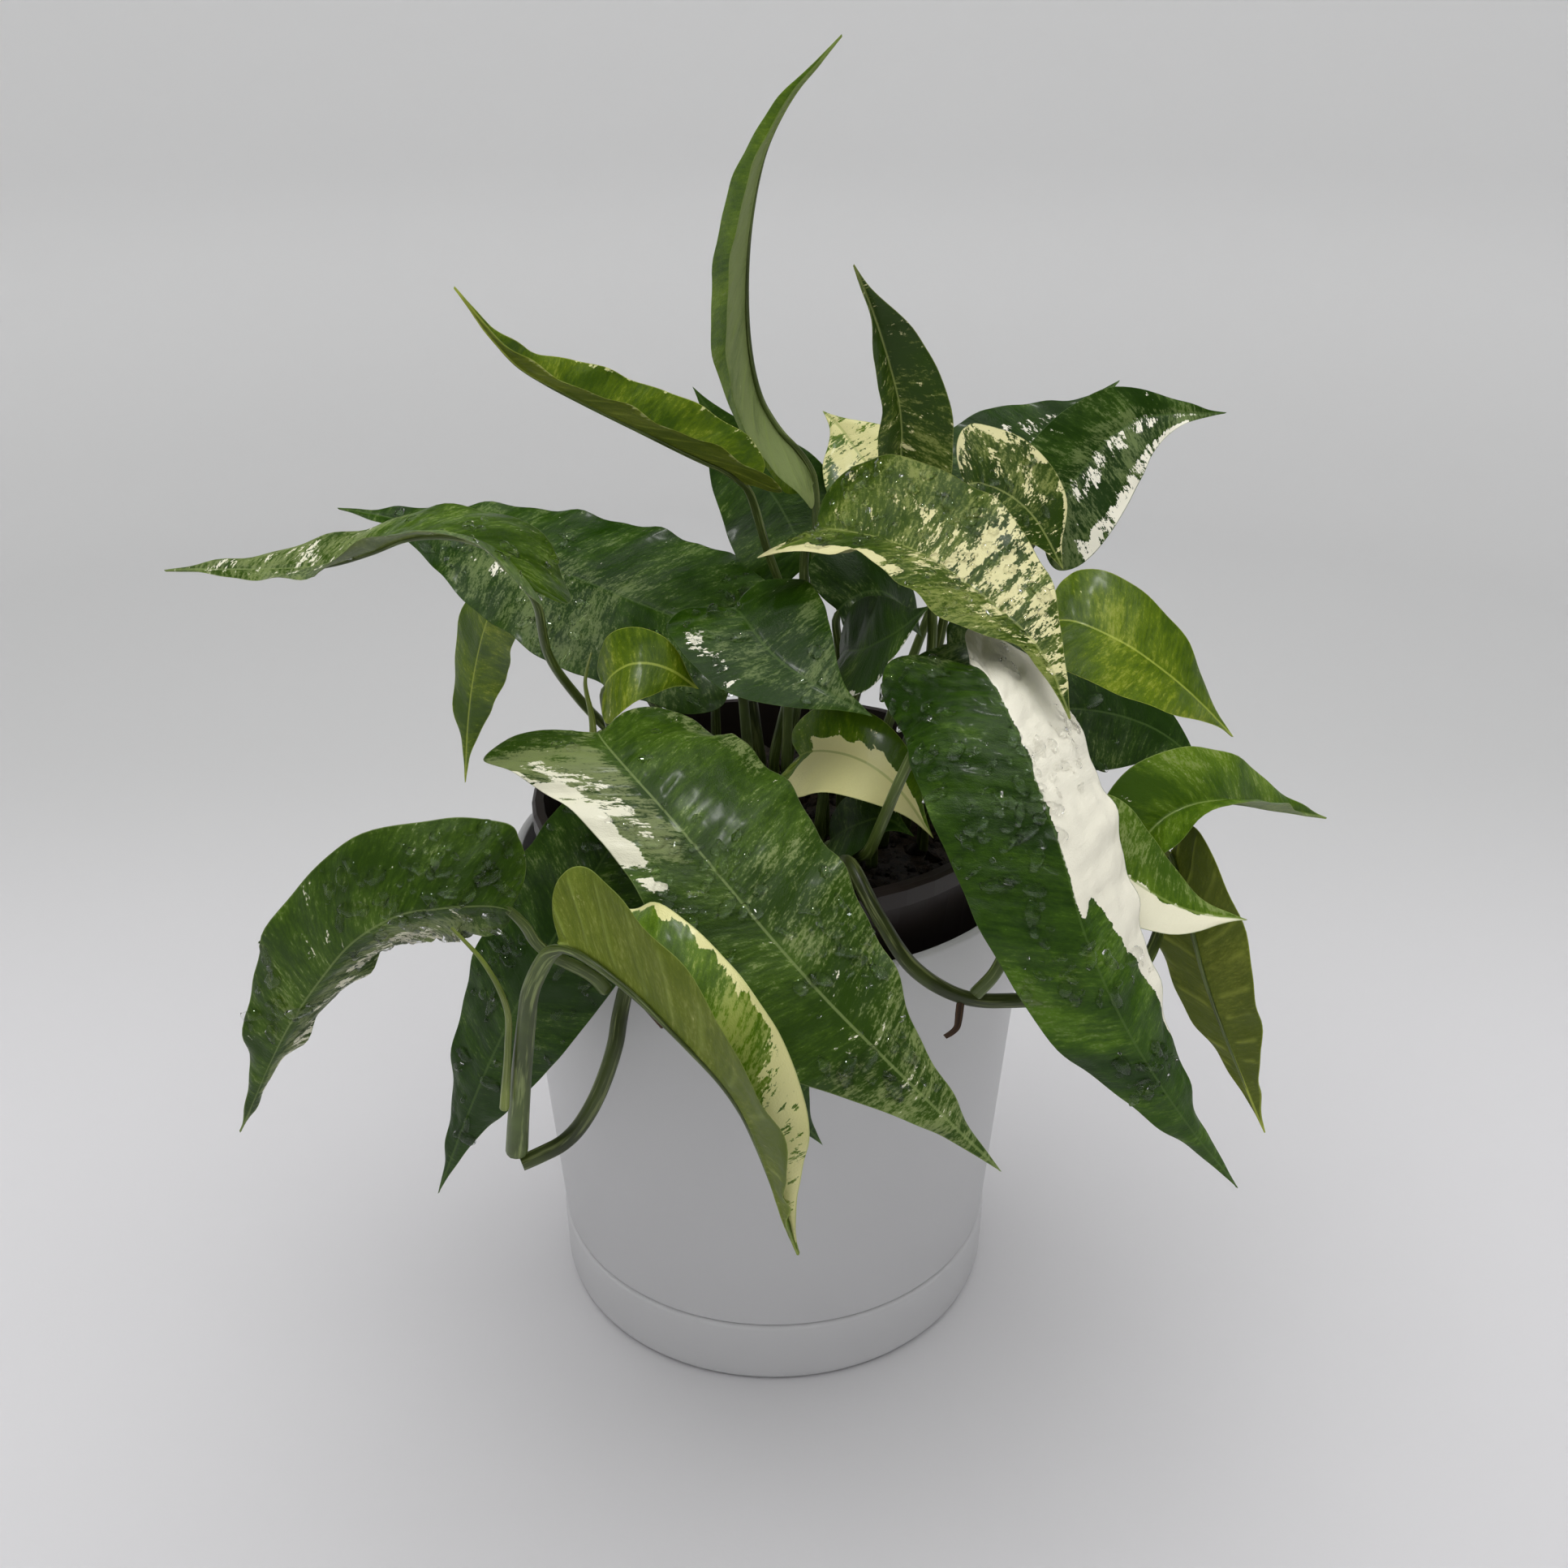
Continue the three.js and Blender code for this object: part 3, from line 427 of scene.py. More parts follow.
def shape_blade(blade, look, settings, rng):
    """Lifts the upper surface into waves, puckers and veins, and returns how near each point is to a vein."""
    size = min(1.0, blade.length / 0.11)
    spacing = settings.vein_spacing / MM * (0.55 + 0.45 * size)
    q = np.repeat(blade.q[None], len(blade.place), axis=0)
    hand = np.where(q < 0, 0.5, 0.0)
    wander = 0.10 * lumps(rng, blade.u / 7 + 20, blade.v / 9 + 20)
    phase = blade.v / spacing + hand + wander
    to_vein = np.abs(phase - np.round(phase)) * spacing
    fade = step(0, 4, np.abs(blade.u)) * step(0, 3, blade.edge) * step(1.0, 0.9, blade.s)
    vein = np.exp(-((to_vein / 0.75) ** 2)) * fade
    pillow = np.sin(np.pi * (phase - np.floor(phase))) ** 0.8
    bumps = lumps(rng, blade.u / 3.1 + 9, blade.v / 2.7 + 9) + 0.6 * lumps(rng, blade.u / 1.7, blade.v / 1.5)
    quilt = look.quilt * size * (0.75 * pillow + 0.55 * bumps - 0.4) * fade
    rib = np.exp(-((blade.u / 0.8) ** 2)) * step(1.0, 0.85, blade.s)
    waves = np.zeros_like(q)
    for side in (-1, 1):
        beat = blade.v / rng.uniform(21, 27) * 2 * math.pi + rng.uniform(0, 6)
        swing = np.sin(beat) + 0.5 * np.sin(1.9 * beat + 1)
        waves += np.where(q * side > 0, swing, 0)
    waves *= look.wave * size * np.abs(q) ** 2.5 * step(0.02, 0.2, blade.s) * step(1.0, 0.8, blade.s)
    tiny = 0.03 * lumps(rng, blade.u / 1.6 + 40, blade.v / 1.3 + 40)
    lift = quilt - 0.16 * vein - 0.42 * rib * size + waves + tiny
    blade.lifted = blade.surface + blade.normal * (lift * MM)[..., None]
    bulge = (0.12 * vein + 0.25 * rib * size) * MM
    body = settings.thickness * (0.65 + 0.35 * size) * (1 - np.abs(q) ** 10)
    blade.under = blade.lifted - blade.normal * (body + bulge * (np.abs(q) < 0.99))[..., None]
    return vein


def coverage(blade, look, kind, rng):
    """How much of the tissue at each point is pale: the leaf's own share, and its patches."""
    q = np.repeat(blade.q[None], len(blade.place), axis=0)
    ragged_q = 0.10 * lumps(rng, blade.u / 5 + 5, blade.v / 3.2 + 5)
    ragged_s = 0.05 * lumps(rng, blade.u / 8 + 15, blade.v / 4 + 15)
    cover = np.full(q.shape, getattr(look, kind), float)
    for patch in look.patches:
        if patch.kind != kind:
            continue
        (q0, q1), (s0, s1) = patch.side, patch.along
        x = q + ragged_q * (0.2 if patch.strength > CLEAN else 1.0)
        y = blade.s + ragged_s
        inner = q0 + patch.slant * (blade.s - s0)
        inside = step(-0.07, 0.07, x - inner) * step(q1 + 0.07, q1 - 0.07, x)
        inside = inside * step(s0 - 0.03, s0 + 0.04, y) * step(s1 + 0.05, s1 - 0.05, y)
        cover = np.maximum(cover, cover + (patch.strength - cover) * inside)
    return cover


def blade_faces(rows, columns):
    """Faces of a closed blade: upper grid, lower grid inside the same margins, a cap and a point.

    The upper grid's vertices come first, then the lower grid's, then the point; the lower grid's own
    margin vertices are not used."""
    over = np.arange(rows * columns).reshape(rows, columns)
    under = over + rows * columns
    under[:, 0], under[:, -1] = over[:, 0], over[:, -1]
    point = 2 * rows * columns
    faces = []
    lower = []
    for i in range(rows - 1):
        for j in range(columns - 1):
            faces.append((over[i, j], over[i, j + 1], over[i + 1, j + 1], over[i + 1, j]))
            lower.append((under[i, j], under[i + 1, j], under[i + 1, j + 1], under[i, j + 1]))
    for j in range(columns - 1):
        faces.append((over[-1, j], over[-1, j + 1], point))
        lower.append((under[-1, j + 1], under[-1, j], point))
        cap = [over[0, j + 1], over[0, j], under[0, j], under[0, j + 1]]
        lower.append(tuple(dict.fromkeys(cap)))
    return faces, lower


def stalk_and_rib(blade, settings, stout):
    """The stalk, which runs on under the blade as its midrib and thins out towards the tip."""
    rings = blade.rings[:STALK_RINGS]
    centres = (rings[:, 0] + rings[:, 6]) / 2
    radii = stout * np.linalg.norm(rings[:, 0] - rings[:, 6], axis=1) / 2
    sides = unit(rings[:, 0] - rings[:, 6])
    pick = np.arange(6, len(blade.place) - 6, 6)
    spine = blade.lifted[pick, blade.middle]
    up = blade.normal[pick, blade.middle]
    share = blade.s[pick, 0]
    thick = settings.rib_height * (1 - 0.82 * share) * np.clip(blade.length / 0.13, 0.55, 1)
    spine = spine - up * (0.25 * MM + 0.75 * thick[:, None])
    across = unit(blade.surface[pick, blade.middle + 2] - blade.surface[pick, blade.middle - 2])
    centres = np.concatenate([blade.foot[None], centres[1:], spine])
    radii = np.concatenate([radii[:1], radii[1:], thick])
    sides = np.concatenate([sides[:1], sides[1:], across])
    length = np.linalg.norm(np.diff(centres, axis=0), axis=1)
    steps = np.maximum(1, np.round(length / (1.6 * MM))).astype(int)
    where = np.concatenate([k + np.arange(n) / n for k, n in enumerate(steps)] + [[len(steps)]])
    return smooth_run(centres, sides, radii, where)


def write_attribute(mesh, name, values):
    attribute = mesh.attributes.new(name, "FLOAT", "POINT")
    attribute.data.foreach_set("value", np.asarray(values, np.float32))


def write_map(mesh, places):
    """The UV map surface_mm: one unit is 100 mm over the surface."""
    corners = np.zeros(len(mesh.loops), int)
    mesh.loops.foreach_get("vertex_index", corners)
    layer = mesh.uv_layers.new(name="surface_mm")
    layer.data.foreach_set("uv", (places[corners] / 100).astype(np.float32).ravel())


def make_leaf(node, look, settings, seed):
    """A leaf's blade, stalk and midrib in one mesh, with the map and attributes its materials read."""
    rng = np.random.default_rng(seed)
    blade = Blade(node, settings)
    vein = shape_blade(blade, look, settings, rng)
    rows, columns = blade.surface.shape[:2]
    upper, lower = blade_faces(rows, columns)
    line, sides, ups, radii = stalk_and_rib(blade, settings, look.stout)
    around = 14
    stalk, stalk_faces = tube(line, sides, ups, radii, around, groove=0.22, ridges=0.02)
    start = 2 * rows * columns + 1
    vertices = np.concatenate([
        blade.lifted.reshape(-1, 3), blade.under.reshape(-1, 3), blade.tip[None], stalk])
    faces = upper + lower + [tuple(v + start for v in f) for f in stalk_faces]
    piece = new_object(node + "_grown", vertices, faces)
    mesh = piece.data
    flat = np.zeros(len(stalk))
    cream = coverage(blade, look, "cream", rng)
    sage = coverage(blade, look, "sage", rng)
    for name, values, at_tip in (
        ("cream", cream, cream[-1, blade.middle]), ("sage", sage, sage[-1, blade.middle]),
        ("vein", vein, 0), ("edge_mm", blade.edge, 0)):
        write_attribute(mesh, name, np.concatenate([values.ravel(), values.ravel(), [at_tip], flat]))
    write_attribute(mesh, "tone", np.full(len(vertices), look.tone))
    write_attribute(mesh, "grown", np.full(len(vertices), seed * 3.7))
    places = np.stack([blade.u, blade.v], -1).reshape(-1, 2)
    tip_place = [[0, blade.v[-1, 0]]]
    write_map(mesh, np.concatenate([places, places, tip_place, tube_map(line, around)]))
    which = np.concatenate([np.zeros(len(upper)), np.ones(len(lower)), np.full(len(stalk_faces), 2)])
    for side in ("upper", "under"):
        mesh.materials.append(leaf_material(look.finish, side))
    mesh.materials.append(stem_material("fleshy_stalk", "#3a4814", "#56682a", "#8c9a5c", 0.40))
    mesh.polygons.foreach_set("material_index", which.astype(np.int32))
    unused = [i for i in range(rows * columns, 2 * rows * columns) if (i % columns) in (0, columns - 1)]
    drop_vertices(mesh, unused)
    return piece


def drop_vertices(mesh, indices):
    bm = bmesh.new()
    bm.from_mesh(mesh)
    bm.verts.ensure_lookup_table()
    bmesh.ops.delete(bm, geom=[bm.verts[i] for i in indices], context="VERTS")
    bm.to_mesh(mesh)
    bm.free()


# ---- materials ----
def linear(hex_colour):
    """A hex sRGB colour as the linear colour that shaders take."""
    parts = [int(hex_colour[i : i + 2], 16) / 255 for i in (1, 3, 5)]
    return (*[c / 12.92 if c <= 0.04045 else ((c + 0.055) / 1.055) ** 2.4 for c in parts], 1.0)


def hex_of(colour):
    return "#" + "".join(f"{round(255 * c):02x}" for c in colour)


# Kinds of node that most materials use.
MATHS, VECTOR_MATHS, RANGE = "ShaderNodeMath", "ShaderNodeVectorMath", "ShaderNodeMapRange"
MIX, NOISE, RANDOM = "ShaderNodeMix", "ShaderNodeTexNoise", "FunctionNodeRandomValue"


def add(tree, kind, links=(), out=0, **settings):
    """Adds a node with its settings, and gives back its output out, or the node if it has no outputs.

    links holds a socket to read or a value for each input, in order or by the input's name or number."""
    node = tree.nodes.new(kind)
    for name, value in settings.items():
        setattr(node, name, value)
    for name, source in links.items() if isinstance(links, dict) else enumerate(links):
        if isinstance(source, bpy.types.NodeSocket):
            tree.links.new(source, node.inputs[name])
        else:
            node.inputs[name].default_value = source
    return node.outputs[out] if node.outputs else node


def new_material(name):
    material = bpy.data.materials.new(name)
    material.use_nodes = True
    material.node_tree.nodes.clear()
    return material, material.node_tree


def finish_material(tree, inputs):
    shader = add(tree, "ShaderNodeBsdfPrincipled", inputs)
    add(tree, "ShaderNodeOutputMaterial", {"Surface": shader})


def layer(tree, under, value, low, high, most, colour):
    """Lays a colour over another: none of it where value is low, up to the share most where it is high."""
    share = add(tree, RANGE, (value, low, high, 0.0, most), interpolation_type="SMOOTHSTEP")
    return add(tree, MIX, {0: share, 6: under, 7: colour}, out=2, data_type="RGBA")


def blend(tree, fields, **weights):
    """The weighted sum of the named noise fields, each counted from its mean."""
    total = None
    for key, weight in weights.items():
        centred = add(tree, MATHS, (fields[key], 0.5), operation="SUBTRACT")
        part = add(tree, MATHS, (centred, weight), operation="MULTIPLY")
        total = part if total is None else add(tree, MATHS, (total, part), operation="ADD")
    return total


# Colours of one kind of leaf: deep and mid green of its upper side, bright green between the veins,
# grey-green sage and cream of its pale tissue, its veins, and the two greens of its underside.
Palette = namedtuple("Palette", "deep mid bright sage cream vein under under_deep")
PALETTES = {
    "marbled": Palette(
        "#2a4402", "#45620c", "#638418", "#8b9660", "#ebe8cf", "#869858", "#74833e", "#56682a"),
    "cream_marbled": Palette(
        "#2a4202", "#485e0a", "#64781a", "#8e9650", "#e0daa2", "#98a258", "#74803c", "#5a682c"),
    "dark": Palette(
        "#1e3a00", "#345304", "#4e700e", "#75854e", "#f3efdc", "#4d682a", "#65783e", "#455826"),
    "green": Palette(
        "#3c5a06", "#5a780e", "#74901c", "#8c9a5c", "#ece8cc", "#8ca04e", "#86955a", "#6a7c42"),
    "olive": Palette(
        "#3c5600", "#5a7200", "#788a08", "#949e3e", "#dcdc9c", "#b4c050", "#717c28", "#576516"),
    "cream_edged": Palette(
        "#426002", "#62820a", "#869a18", "#a8b060", "#e8e3a0", "#98a850", "#6b7922", "#586814"),
}


# A leaf's noise fields: mm from lump to lump out along a side vein and from vein to vein, the field's
# shift, and the noise's detail and roughness.
FIELDS = {
    "broad": (24, 13, 0.0, 2.0, 0.55),
    "streak": (4.6, 1.15, 3.1, 5.0, 0.62),
    "patchy": (8.5, 3.4, 8.7, 5.0, 0.68),
    "fleck": (1.1, 0.55, 5.3, 3.0, 0.65),
    "grain": (0.45, 0.4, 1.7, 2.0, 0.55),
}


def leaf_material(finish, side):
    """Living leaf with a waxy skin: a soft sheen over green tissue, flecked with tissue that lacks green.

    Fine marbling follows the side veins in streaks of about 5 by 1 mm, and the larger pale patches
    break up in lumps of about 8 by 3 mm."""
    name = f"waxy_leaf_{finish}_{side}"
    if name in bpy.data.materials:
        return bpy.data.materials[name]
    colours = {key: linear(value) for key, value in PALETTES[finish]._asdict().items()}
    upper = side == "upper"
    material, tree = new_material(name)
    uv = add(tree, "ShaderNodeUVMap", uv_map="surface_mm")
    surface = add(tree, VECTOR_MATHS, {0: uv, "Scale": 100.0}, operation="SCALE")
    split = add(tree, "ShaderNodeSeparateXYZ", (surface,)).node.outputs
    across, along = split["X"], split["Y"]
    own = {}
    for key in ("grown", "tone", "vein", "edge_mm", "sage", "cream"):
        own[key] = add(tree, "ShaderNodeAttribute", out="Fac", attribute_name=key)
    fields = {}
    for key, (across_mm, along_mm, shift, detail, roughness) in FIELDS.items():
        place = add(tree, "ShaderNodeCombineXYZ", (
            add(tree, MATHS, (across, across_mm), operation="DIVIDE"),
            add(tree, MATHS, (along, along_mm), operation="DIVIDE"),
            add(tree, MATHS, (own["grown"], shift), operation="ADD")))
        fields[key] = add(tree, NOISE, {
            "Vector": place, "Scale": 1.0, "Detail": detail, "Roughness": roughness})
    strewn = blend(tree, fields, streak=0.75, fleck=0.55, broad=0.55)
    clumped = blend(tree, fields, patchy=1.0, fleck=0.35, streak=0.35)
    lightness = add(tree, MATHS, (
        blend(tree, fields, broad=1.3, streak=0.9, fleck=0.35),
        add(tree, MATHS, (own["tone"], 0.25), operation="MULTIPLY")), operation="ADD")
    if upper:
        skin = layer(tree, colours["deep"], lightness, -0.22, 0.22, 1.0, colours["mid"])
        skin = layer(tree, skin, lightness, 0.12, 0.42, 1.0, colours["bright"])
        skin = layer(tree, skin, own["vein"], 0.2, 1.0, 0.30, colours["deep"])
        pale = (("sage", strewn, 0.22, 0.66), ("cream", clumped, 0.05, 1.0))
        rib_share, dull, coat = 0.55, 0.38, 0.10
    else:
        skin = layer(tree, colours["under_deep"], lightness, -0.2, 0.3, 1.0, colours["under"])
        skin = layer(tree, skin, own["vein"], 0.2, 1.0, 0.35, colours["vein"])
        pale = (("sage", strewn, 0.3, 0.4), ("cream", clumped, 0.2, 0.6))
        rib_share, dull, coat = 0.8, 0.5, 0.0
    for kind, field, soft, most in pale:  # pale where the leaf's share of it outweighs the random field
        random = add(tree, MATHS, (field, 2.4), operation="MULTIPLY")
        wanted = add(tree, MATHS, (own[kind], random), operation="ADD")
        skin = layer(tree, skin, wanted, 0.5 - soft, 0.5 + soft, most, colours[kind])
    from_rib = add(tree, MATHS, (across,), operation="ABSOLUTE")
    skin = layer(tree, skin, from_rib, 0.55, 0.2, rib_share, colours["vein"])
    skin = layer(tree, skin, own["edge_mm"], 0.4, 0.1, 0.5, colours["vein"])
    rough = add(
        tree, RANGE, (blend(tree, fields, broad=1.0), -0.2, 0.2, dull, dull + 0.12),
        interpolation_type="SMOOTHSTEP")
    height = blend(tree, fields, grain=1.0, streak=1.6, patchy=1.5)
    bump = add(tree, "ShaderNodeBump", {"Height": height, "Strength": 0.4, "Distance": 0.3 * MM})
    finish_material(tree, {
        "Base Color": skin, "Roughness": rough, "IOR": 1.42, "Normal": bump, "Specular IOR Level": 0.30,
        "Coat Weight": coat, "Coat Roughness": 0.18})
    return material


def stem_material(name, dark, mid, pale, roughness):
    """Smooth fleshy skin, blotched from dark to mid, with pale lengthwise streaks about 0.8 mm wide."""
    if name in bpy.data.materials:
        return bpy.data.materials[name]
    material, tree = new_material(name)
    uv = add(tree, "ShaderNodeUVMap", uv_map="surface_mm")
    streaks = add(tree, "ShaderNodeMapping", {"Vector": uv, "Scale": (130.0, 5.0, 1.0)})
    streak = add(tree, NOISE, {"Vector": streaks, "Scale": 1.0, "Detail": 3.0, "Roughness": 0.6})
    place = add(tree, "ShaderNodeTexCoord", out="Object")
    blotch = add(tree, NOISE, {"Vector": place, "Scale": 45.0, "Detail": 2.0, "Roughness": 0.55})
    skin = layer(tree, linear(dark), blotch, 0.35, 0.65, 1.0, linear(mid))
    skin = layer(tree, skin, streak, 0.50, 0.68, 0.8, linear(pale))
    bump = add(tree, "ShaderNodeBump", {"Height": streak, "Strength": 0.4, "Distance": 0.3 * MM})
    finish_material(tree, {"Base Color": skin, "Roughness": roughness, "Normal": bump})
    return material


def plastic_material(name, colour, tint, grain_mm, roughness, bump_mm):
    """Injection-moulded polypropylene: an even colour, a fine spark-eroded grain and a dull sheen."""
    material, tree = new_material(name)
    place = add(tree, "ShaderNodeTexCoord", out="Object")
    grain = add(tree, NOISE, {
        "Vector": place, "Scale": 1 / (grain_mm * MM), "Detail": 2.0, "Roughness": 0.55})
    cloud = add(tree, NOISE, {"Vector": place, "Scale": 18.0, "Detail": 2.0, "Roughness": 0.55})
    skin = layer(tree, linear(colour), cloud, 0.3, 0.7, 1.0, linear(tint))
    rough = add(
        tree, RANGE, (cloud, 0.2, 0.8, roughness - 0.04, roughness + 0.04),
        interpolation_type="SMOOTHSTEP")
    bump = add(tree, "ShaderNodeBump", {"Height": grain, "Strength": 0.25, "Distance": bump_mm * MM})
    finish_material(tree, {"Base Color": skin, "Roughness": rough, "Normal": bump})
    return material


def soil_material():
    """Damp peat and bark: near black, with brown fibres and a few lighter crumbs."""
    material, tree = new_material("damp_potting_soil")
    place = add(tree, "ShaderNodeTexCoord", out="Object")
    coarse = add(tree, NOISE, {"Vector": place, "Scale": 320.0, "Detail": 4.0, "Roughness": 0.55})
    fine = add(tree, NOISE, {"Vector": place, "Scale": 1400.0, "Detail": 3.0, "Roughness": 0.55})
    skin = layer(tree, linear("#0d0a07"), coarse, 0.35, 0.65, 1.0, linear("#2a1f15"))
    skin = layer(tree, skin, fine, 0.58, 0.72, 0.6, linear("#4d3b29"))
    bump = add(tree, "ShaderNodeBump", {"Height": fine, "Strength": 0.8, "Distance": 0.8 * MM})
    finish_material(tree, {"Base Color": skin, "Roughness": 0.85, "Normal": bump})
    return material


def water_material():
    """Clean water: clear, with an index of refraction of 1.33."""
    material, tree = new_material("clear_water")
    finish_material(tree, {
        "Base Color": linear("#ffffff"), "Roughness": 0.02, "IOR": 1.33, "Transmission Weight": 1.0})
    return material


# ---- pots ----
def section_of(node):
    """A turned CAD node's outline in one half plane, as (radius, height) from axis to axis."""
    bm = bmesh.new()
    bm.from_mesh(frame["nodes"][node].data)
    bmesh.ops.remove_doubles(bm, verts=bm.verts, dist=WELD)
    on_plane = [v for v in bm.verts if abs(v.co.y) < WELD and v.co.x > -WELD]
    here = min((v for v in on_plane if abs(v.co.x) < WELD), key=lambda v: v.co.z)
    outline = [here]
    while True:
        near = [e.other_vert(here) for e in here.link_edges]
        onward = [v for v in near if v in on_plane and v not in outline]
        if not onward:
            break
        here = onward[0]
        outline.append(here)
    places = [(max(0.0, v.co.x), v.co.z) for v in outline]
    bm.free()
    return places


def lathe(name, outline, segments):
    """A closed skin turned round the Z axis from an outline that starts and ends on it."""
    inner = outline[1:-1]
    turns = np.arange(segments) / segments * 2 * math.pi
    vertices = [(r * math.cos(t), r * math.sin(t), z) for t in turns for r, z in inner]
    vertices += [(0, 0, outline[0][1]), (0, 0, outline[-1][1])]
    first, last = len(vertices) - 2, len(vertices) - 1
    count = len(inner)
    faces = []
    for i in range(segments):
        a, b = i * count, (i + 1) % segments * count
        faces.append((first, b, a))
        faces.append((last, a + count - 1, b + count - 1))
        faces += [(a + k, b + k, b + k + 1, a + k + 1) for k in range(count - 1)]
    return new_object(name, vertices, faces)


def round_edges(piece, width):
    bevel = piece.modifiers.new("round_edges", "BEVEL")
    bevel.width = width
    bevel.segments = 3
    bevel.limit_method = "ANGLE"
    bevel.angle_limit = math.radians(28)
    apply_modifiers(piece)
    smooth = [True] * len(piece.data.polygons)
    piece.data.polygons.foreach_set("use_smooth", smooth)


def apply_modifiers(piece):
    """Leaves what a piece's modifiers make of it as its plain mesh."""
    evaluated = piece.evaluated_get(bpy.context.evaluated_depsgraph_get())
    mesh = bpy.data.meshes.new_from_object(evaluated)
    piece.modifiers.clear()
    piece.data = mesh


def make_turned(node, edge, material):
    """A finer copy of a turned CAD node, with its edges rounded."""
    piece = lathe(node + "_moulded", section_of(node), bpy.context.scene.pot_settings.segments)
    piece.data.materials.append(material)
    round_edges(piece, edge)
    finish_piece(piece, slot_of(node), node)


# ---- Geometry Nodes ----
def new_tree(name, inputs):
    tree = bpy.data.node_groups.new(name, "GeometryNodeTree")
    tree.interface.new_socket("Geometry", in_out="INPUT", socket_type="NodeSocketGeometry")
    tree.interface.new_socket("Geometry", in_out="OUTPUT", socket_type="NodeSocketGeometry")
    for label, kind, value in inputs:
        socket = tree.interface.new_socket(label, in_out="INPUT", socket_type=kind)
        socket.default_value = value
    return tree


FULL_TURN = 6.28
VECTORS = {"data_type": "FLOAT_VECTOR"}


def drops_tree():
    """Strews flattened, ragged drops over the wet part of a leaf's upper side, most of them small."""
    tree = new_tree("water_drops", (
        ("Spacing", "NodeSocketFloat", 0.003), ("Density", "NodeSocketFloat", 60000.0),
        ("Smallest", "NodeSocketFloat", 0.0004), ("Largest", "NodeSocketFloat", 0.0017),
        ("Seed", "NodeSocketInt", 1)))
    given = add(tree, "NodeGroupInput").node.outputs
    wet = add(tree, "GeometryNodeInputNamedAttribute", {"Name": "wet"}, data_type="FLOAT")
    scatter = add(tree, "GeometryNodeDistributePointsOnFaces", {
        "Mesh": given["Geometry"], "Distance Min": given["Spacing"], "Density Max": given["Density"],
        "Density Factor": wet, "Seed": given["Seed"]}, distribute_method="POISSON").node.outputs
    drop = add(tree, "GeometryNodeMeshIcoSphere", {"Radius": 1.0, "Subdivisions": 3})
    smooth = add(tree, "GeometryNodeSetShadeSmooth", {"Geometry": drop})
    turned = add(tree, RANDOM, {0: (0, 0, 0), 1: (0, 0, FULL_TURN), 8: 5}, **VECTORS)
    spin = add(
        tree, "FunctionNodeRotateRotation", {"Rotation": scatter["Rotation"], "Rotate By": turned},
        rotation_space="LOCAL")
    chance = add(tree, RANDOM, {2: 0.0, 3: 1.0, 8: 9}, out=1)
    big = add(tree, MATHS, (chance, 1.6), operation="POWER")
    radius = add(tree, RANGE, {"Value": big, "To Min": given["Smallest"], "To Max": given["Largest"]})
    drawn = add(tree, RANDOM, {2: 0.8, 3: 2.0, 8: 12}, out=1)
    size = add(tree, "ShaderNodeCombineXYZ", (drawn, 0.8, 0.5))
    scale = add(tree, VECTOR_MATHS, {0: size, "Scale": radius}, operation="SCALE")
    strewn = add(tree, "GeometryNodeInstanceOnPoints", {
        "Points": scatter["Points"], "Instance": smooth, "Rotation": spin, "Scale": scale})
    solid = add(tree, "GeometryNodeRealizeInstances", {"Geometry": strewn})
    place = add(tree, "GeometryNodeInputPosition")
    ragged = add(tree, NOISE, {"Vector": place, "Scale": 420.0, "Detail": 1.0}, out="Color")
    centred = add(tree, VECTOR_MATHS, (ragged, (0.5, 0.5, 0.5)), operation="SUBTRACT")
    push = add(tree, VECTOR_MATHS, {0: centred, "Scale": 2.2 * MM}, operation="SCALE")
    plain = add(tree, "GeometryNodeSetPosition", {"Geometry": solid, "Offset": push})
    done = add(tree, "GeometryNodeSetMaterial", {"Geometry": plain, "Material": water_material()})
    add(tree, "NodeGroupOutput", {"Geometry": done})
    return tree


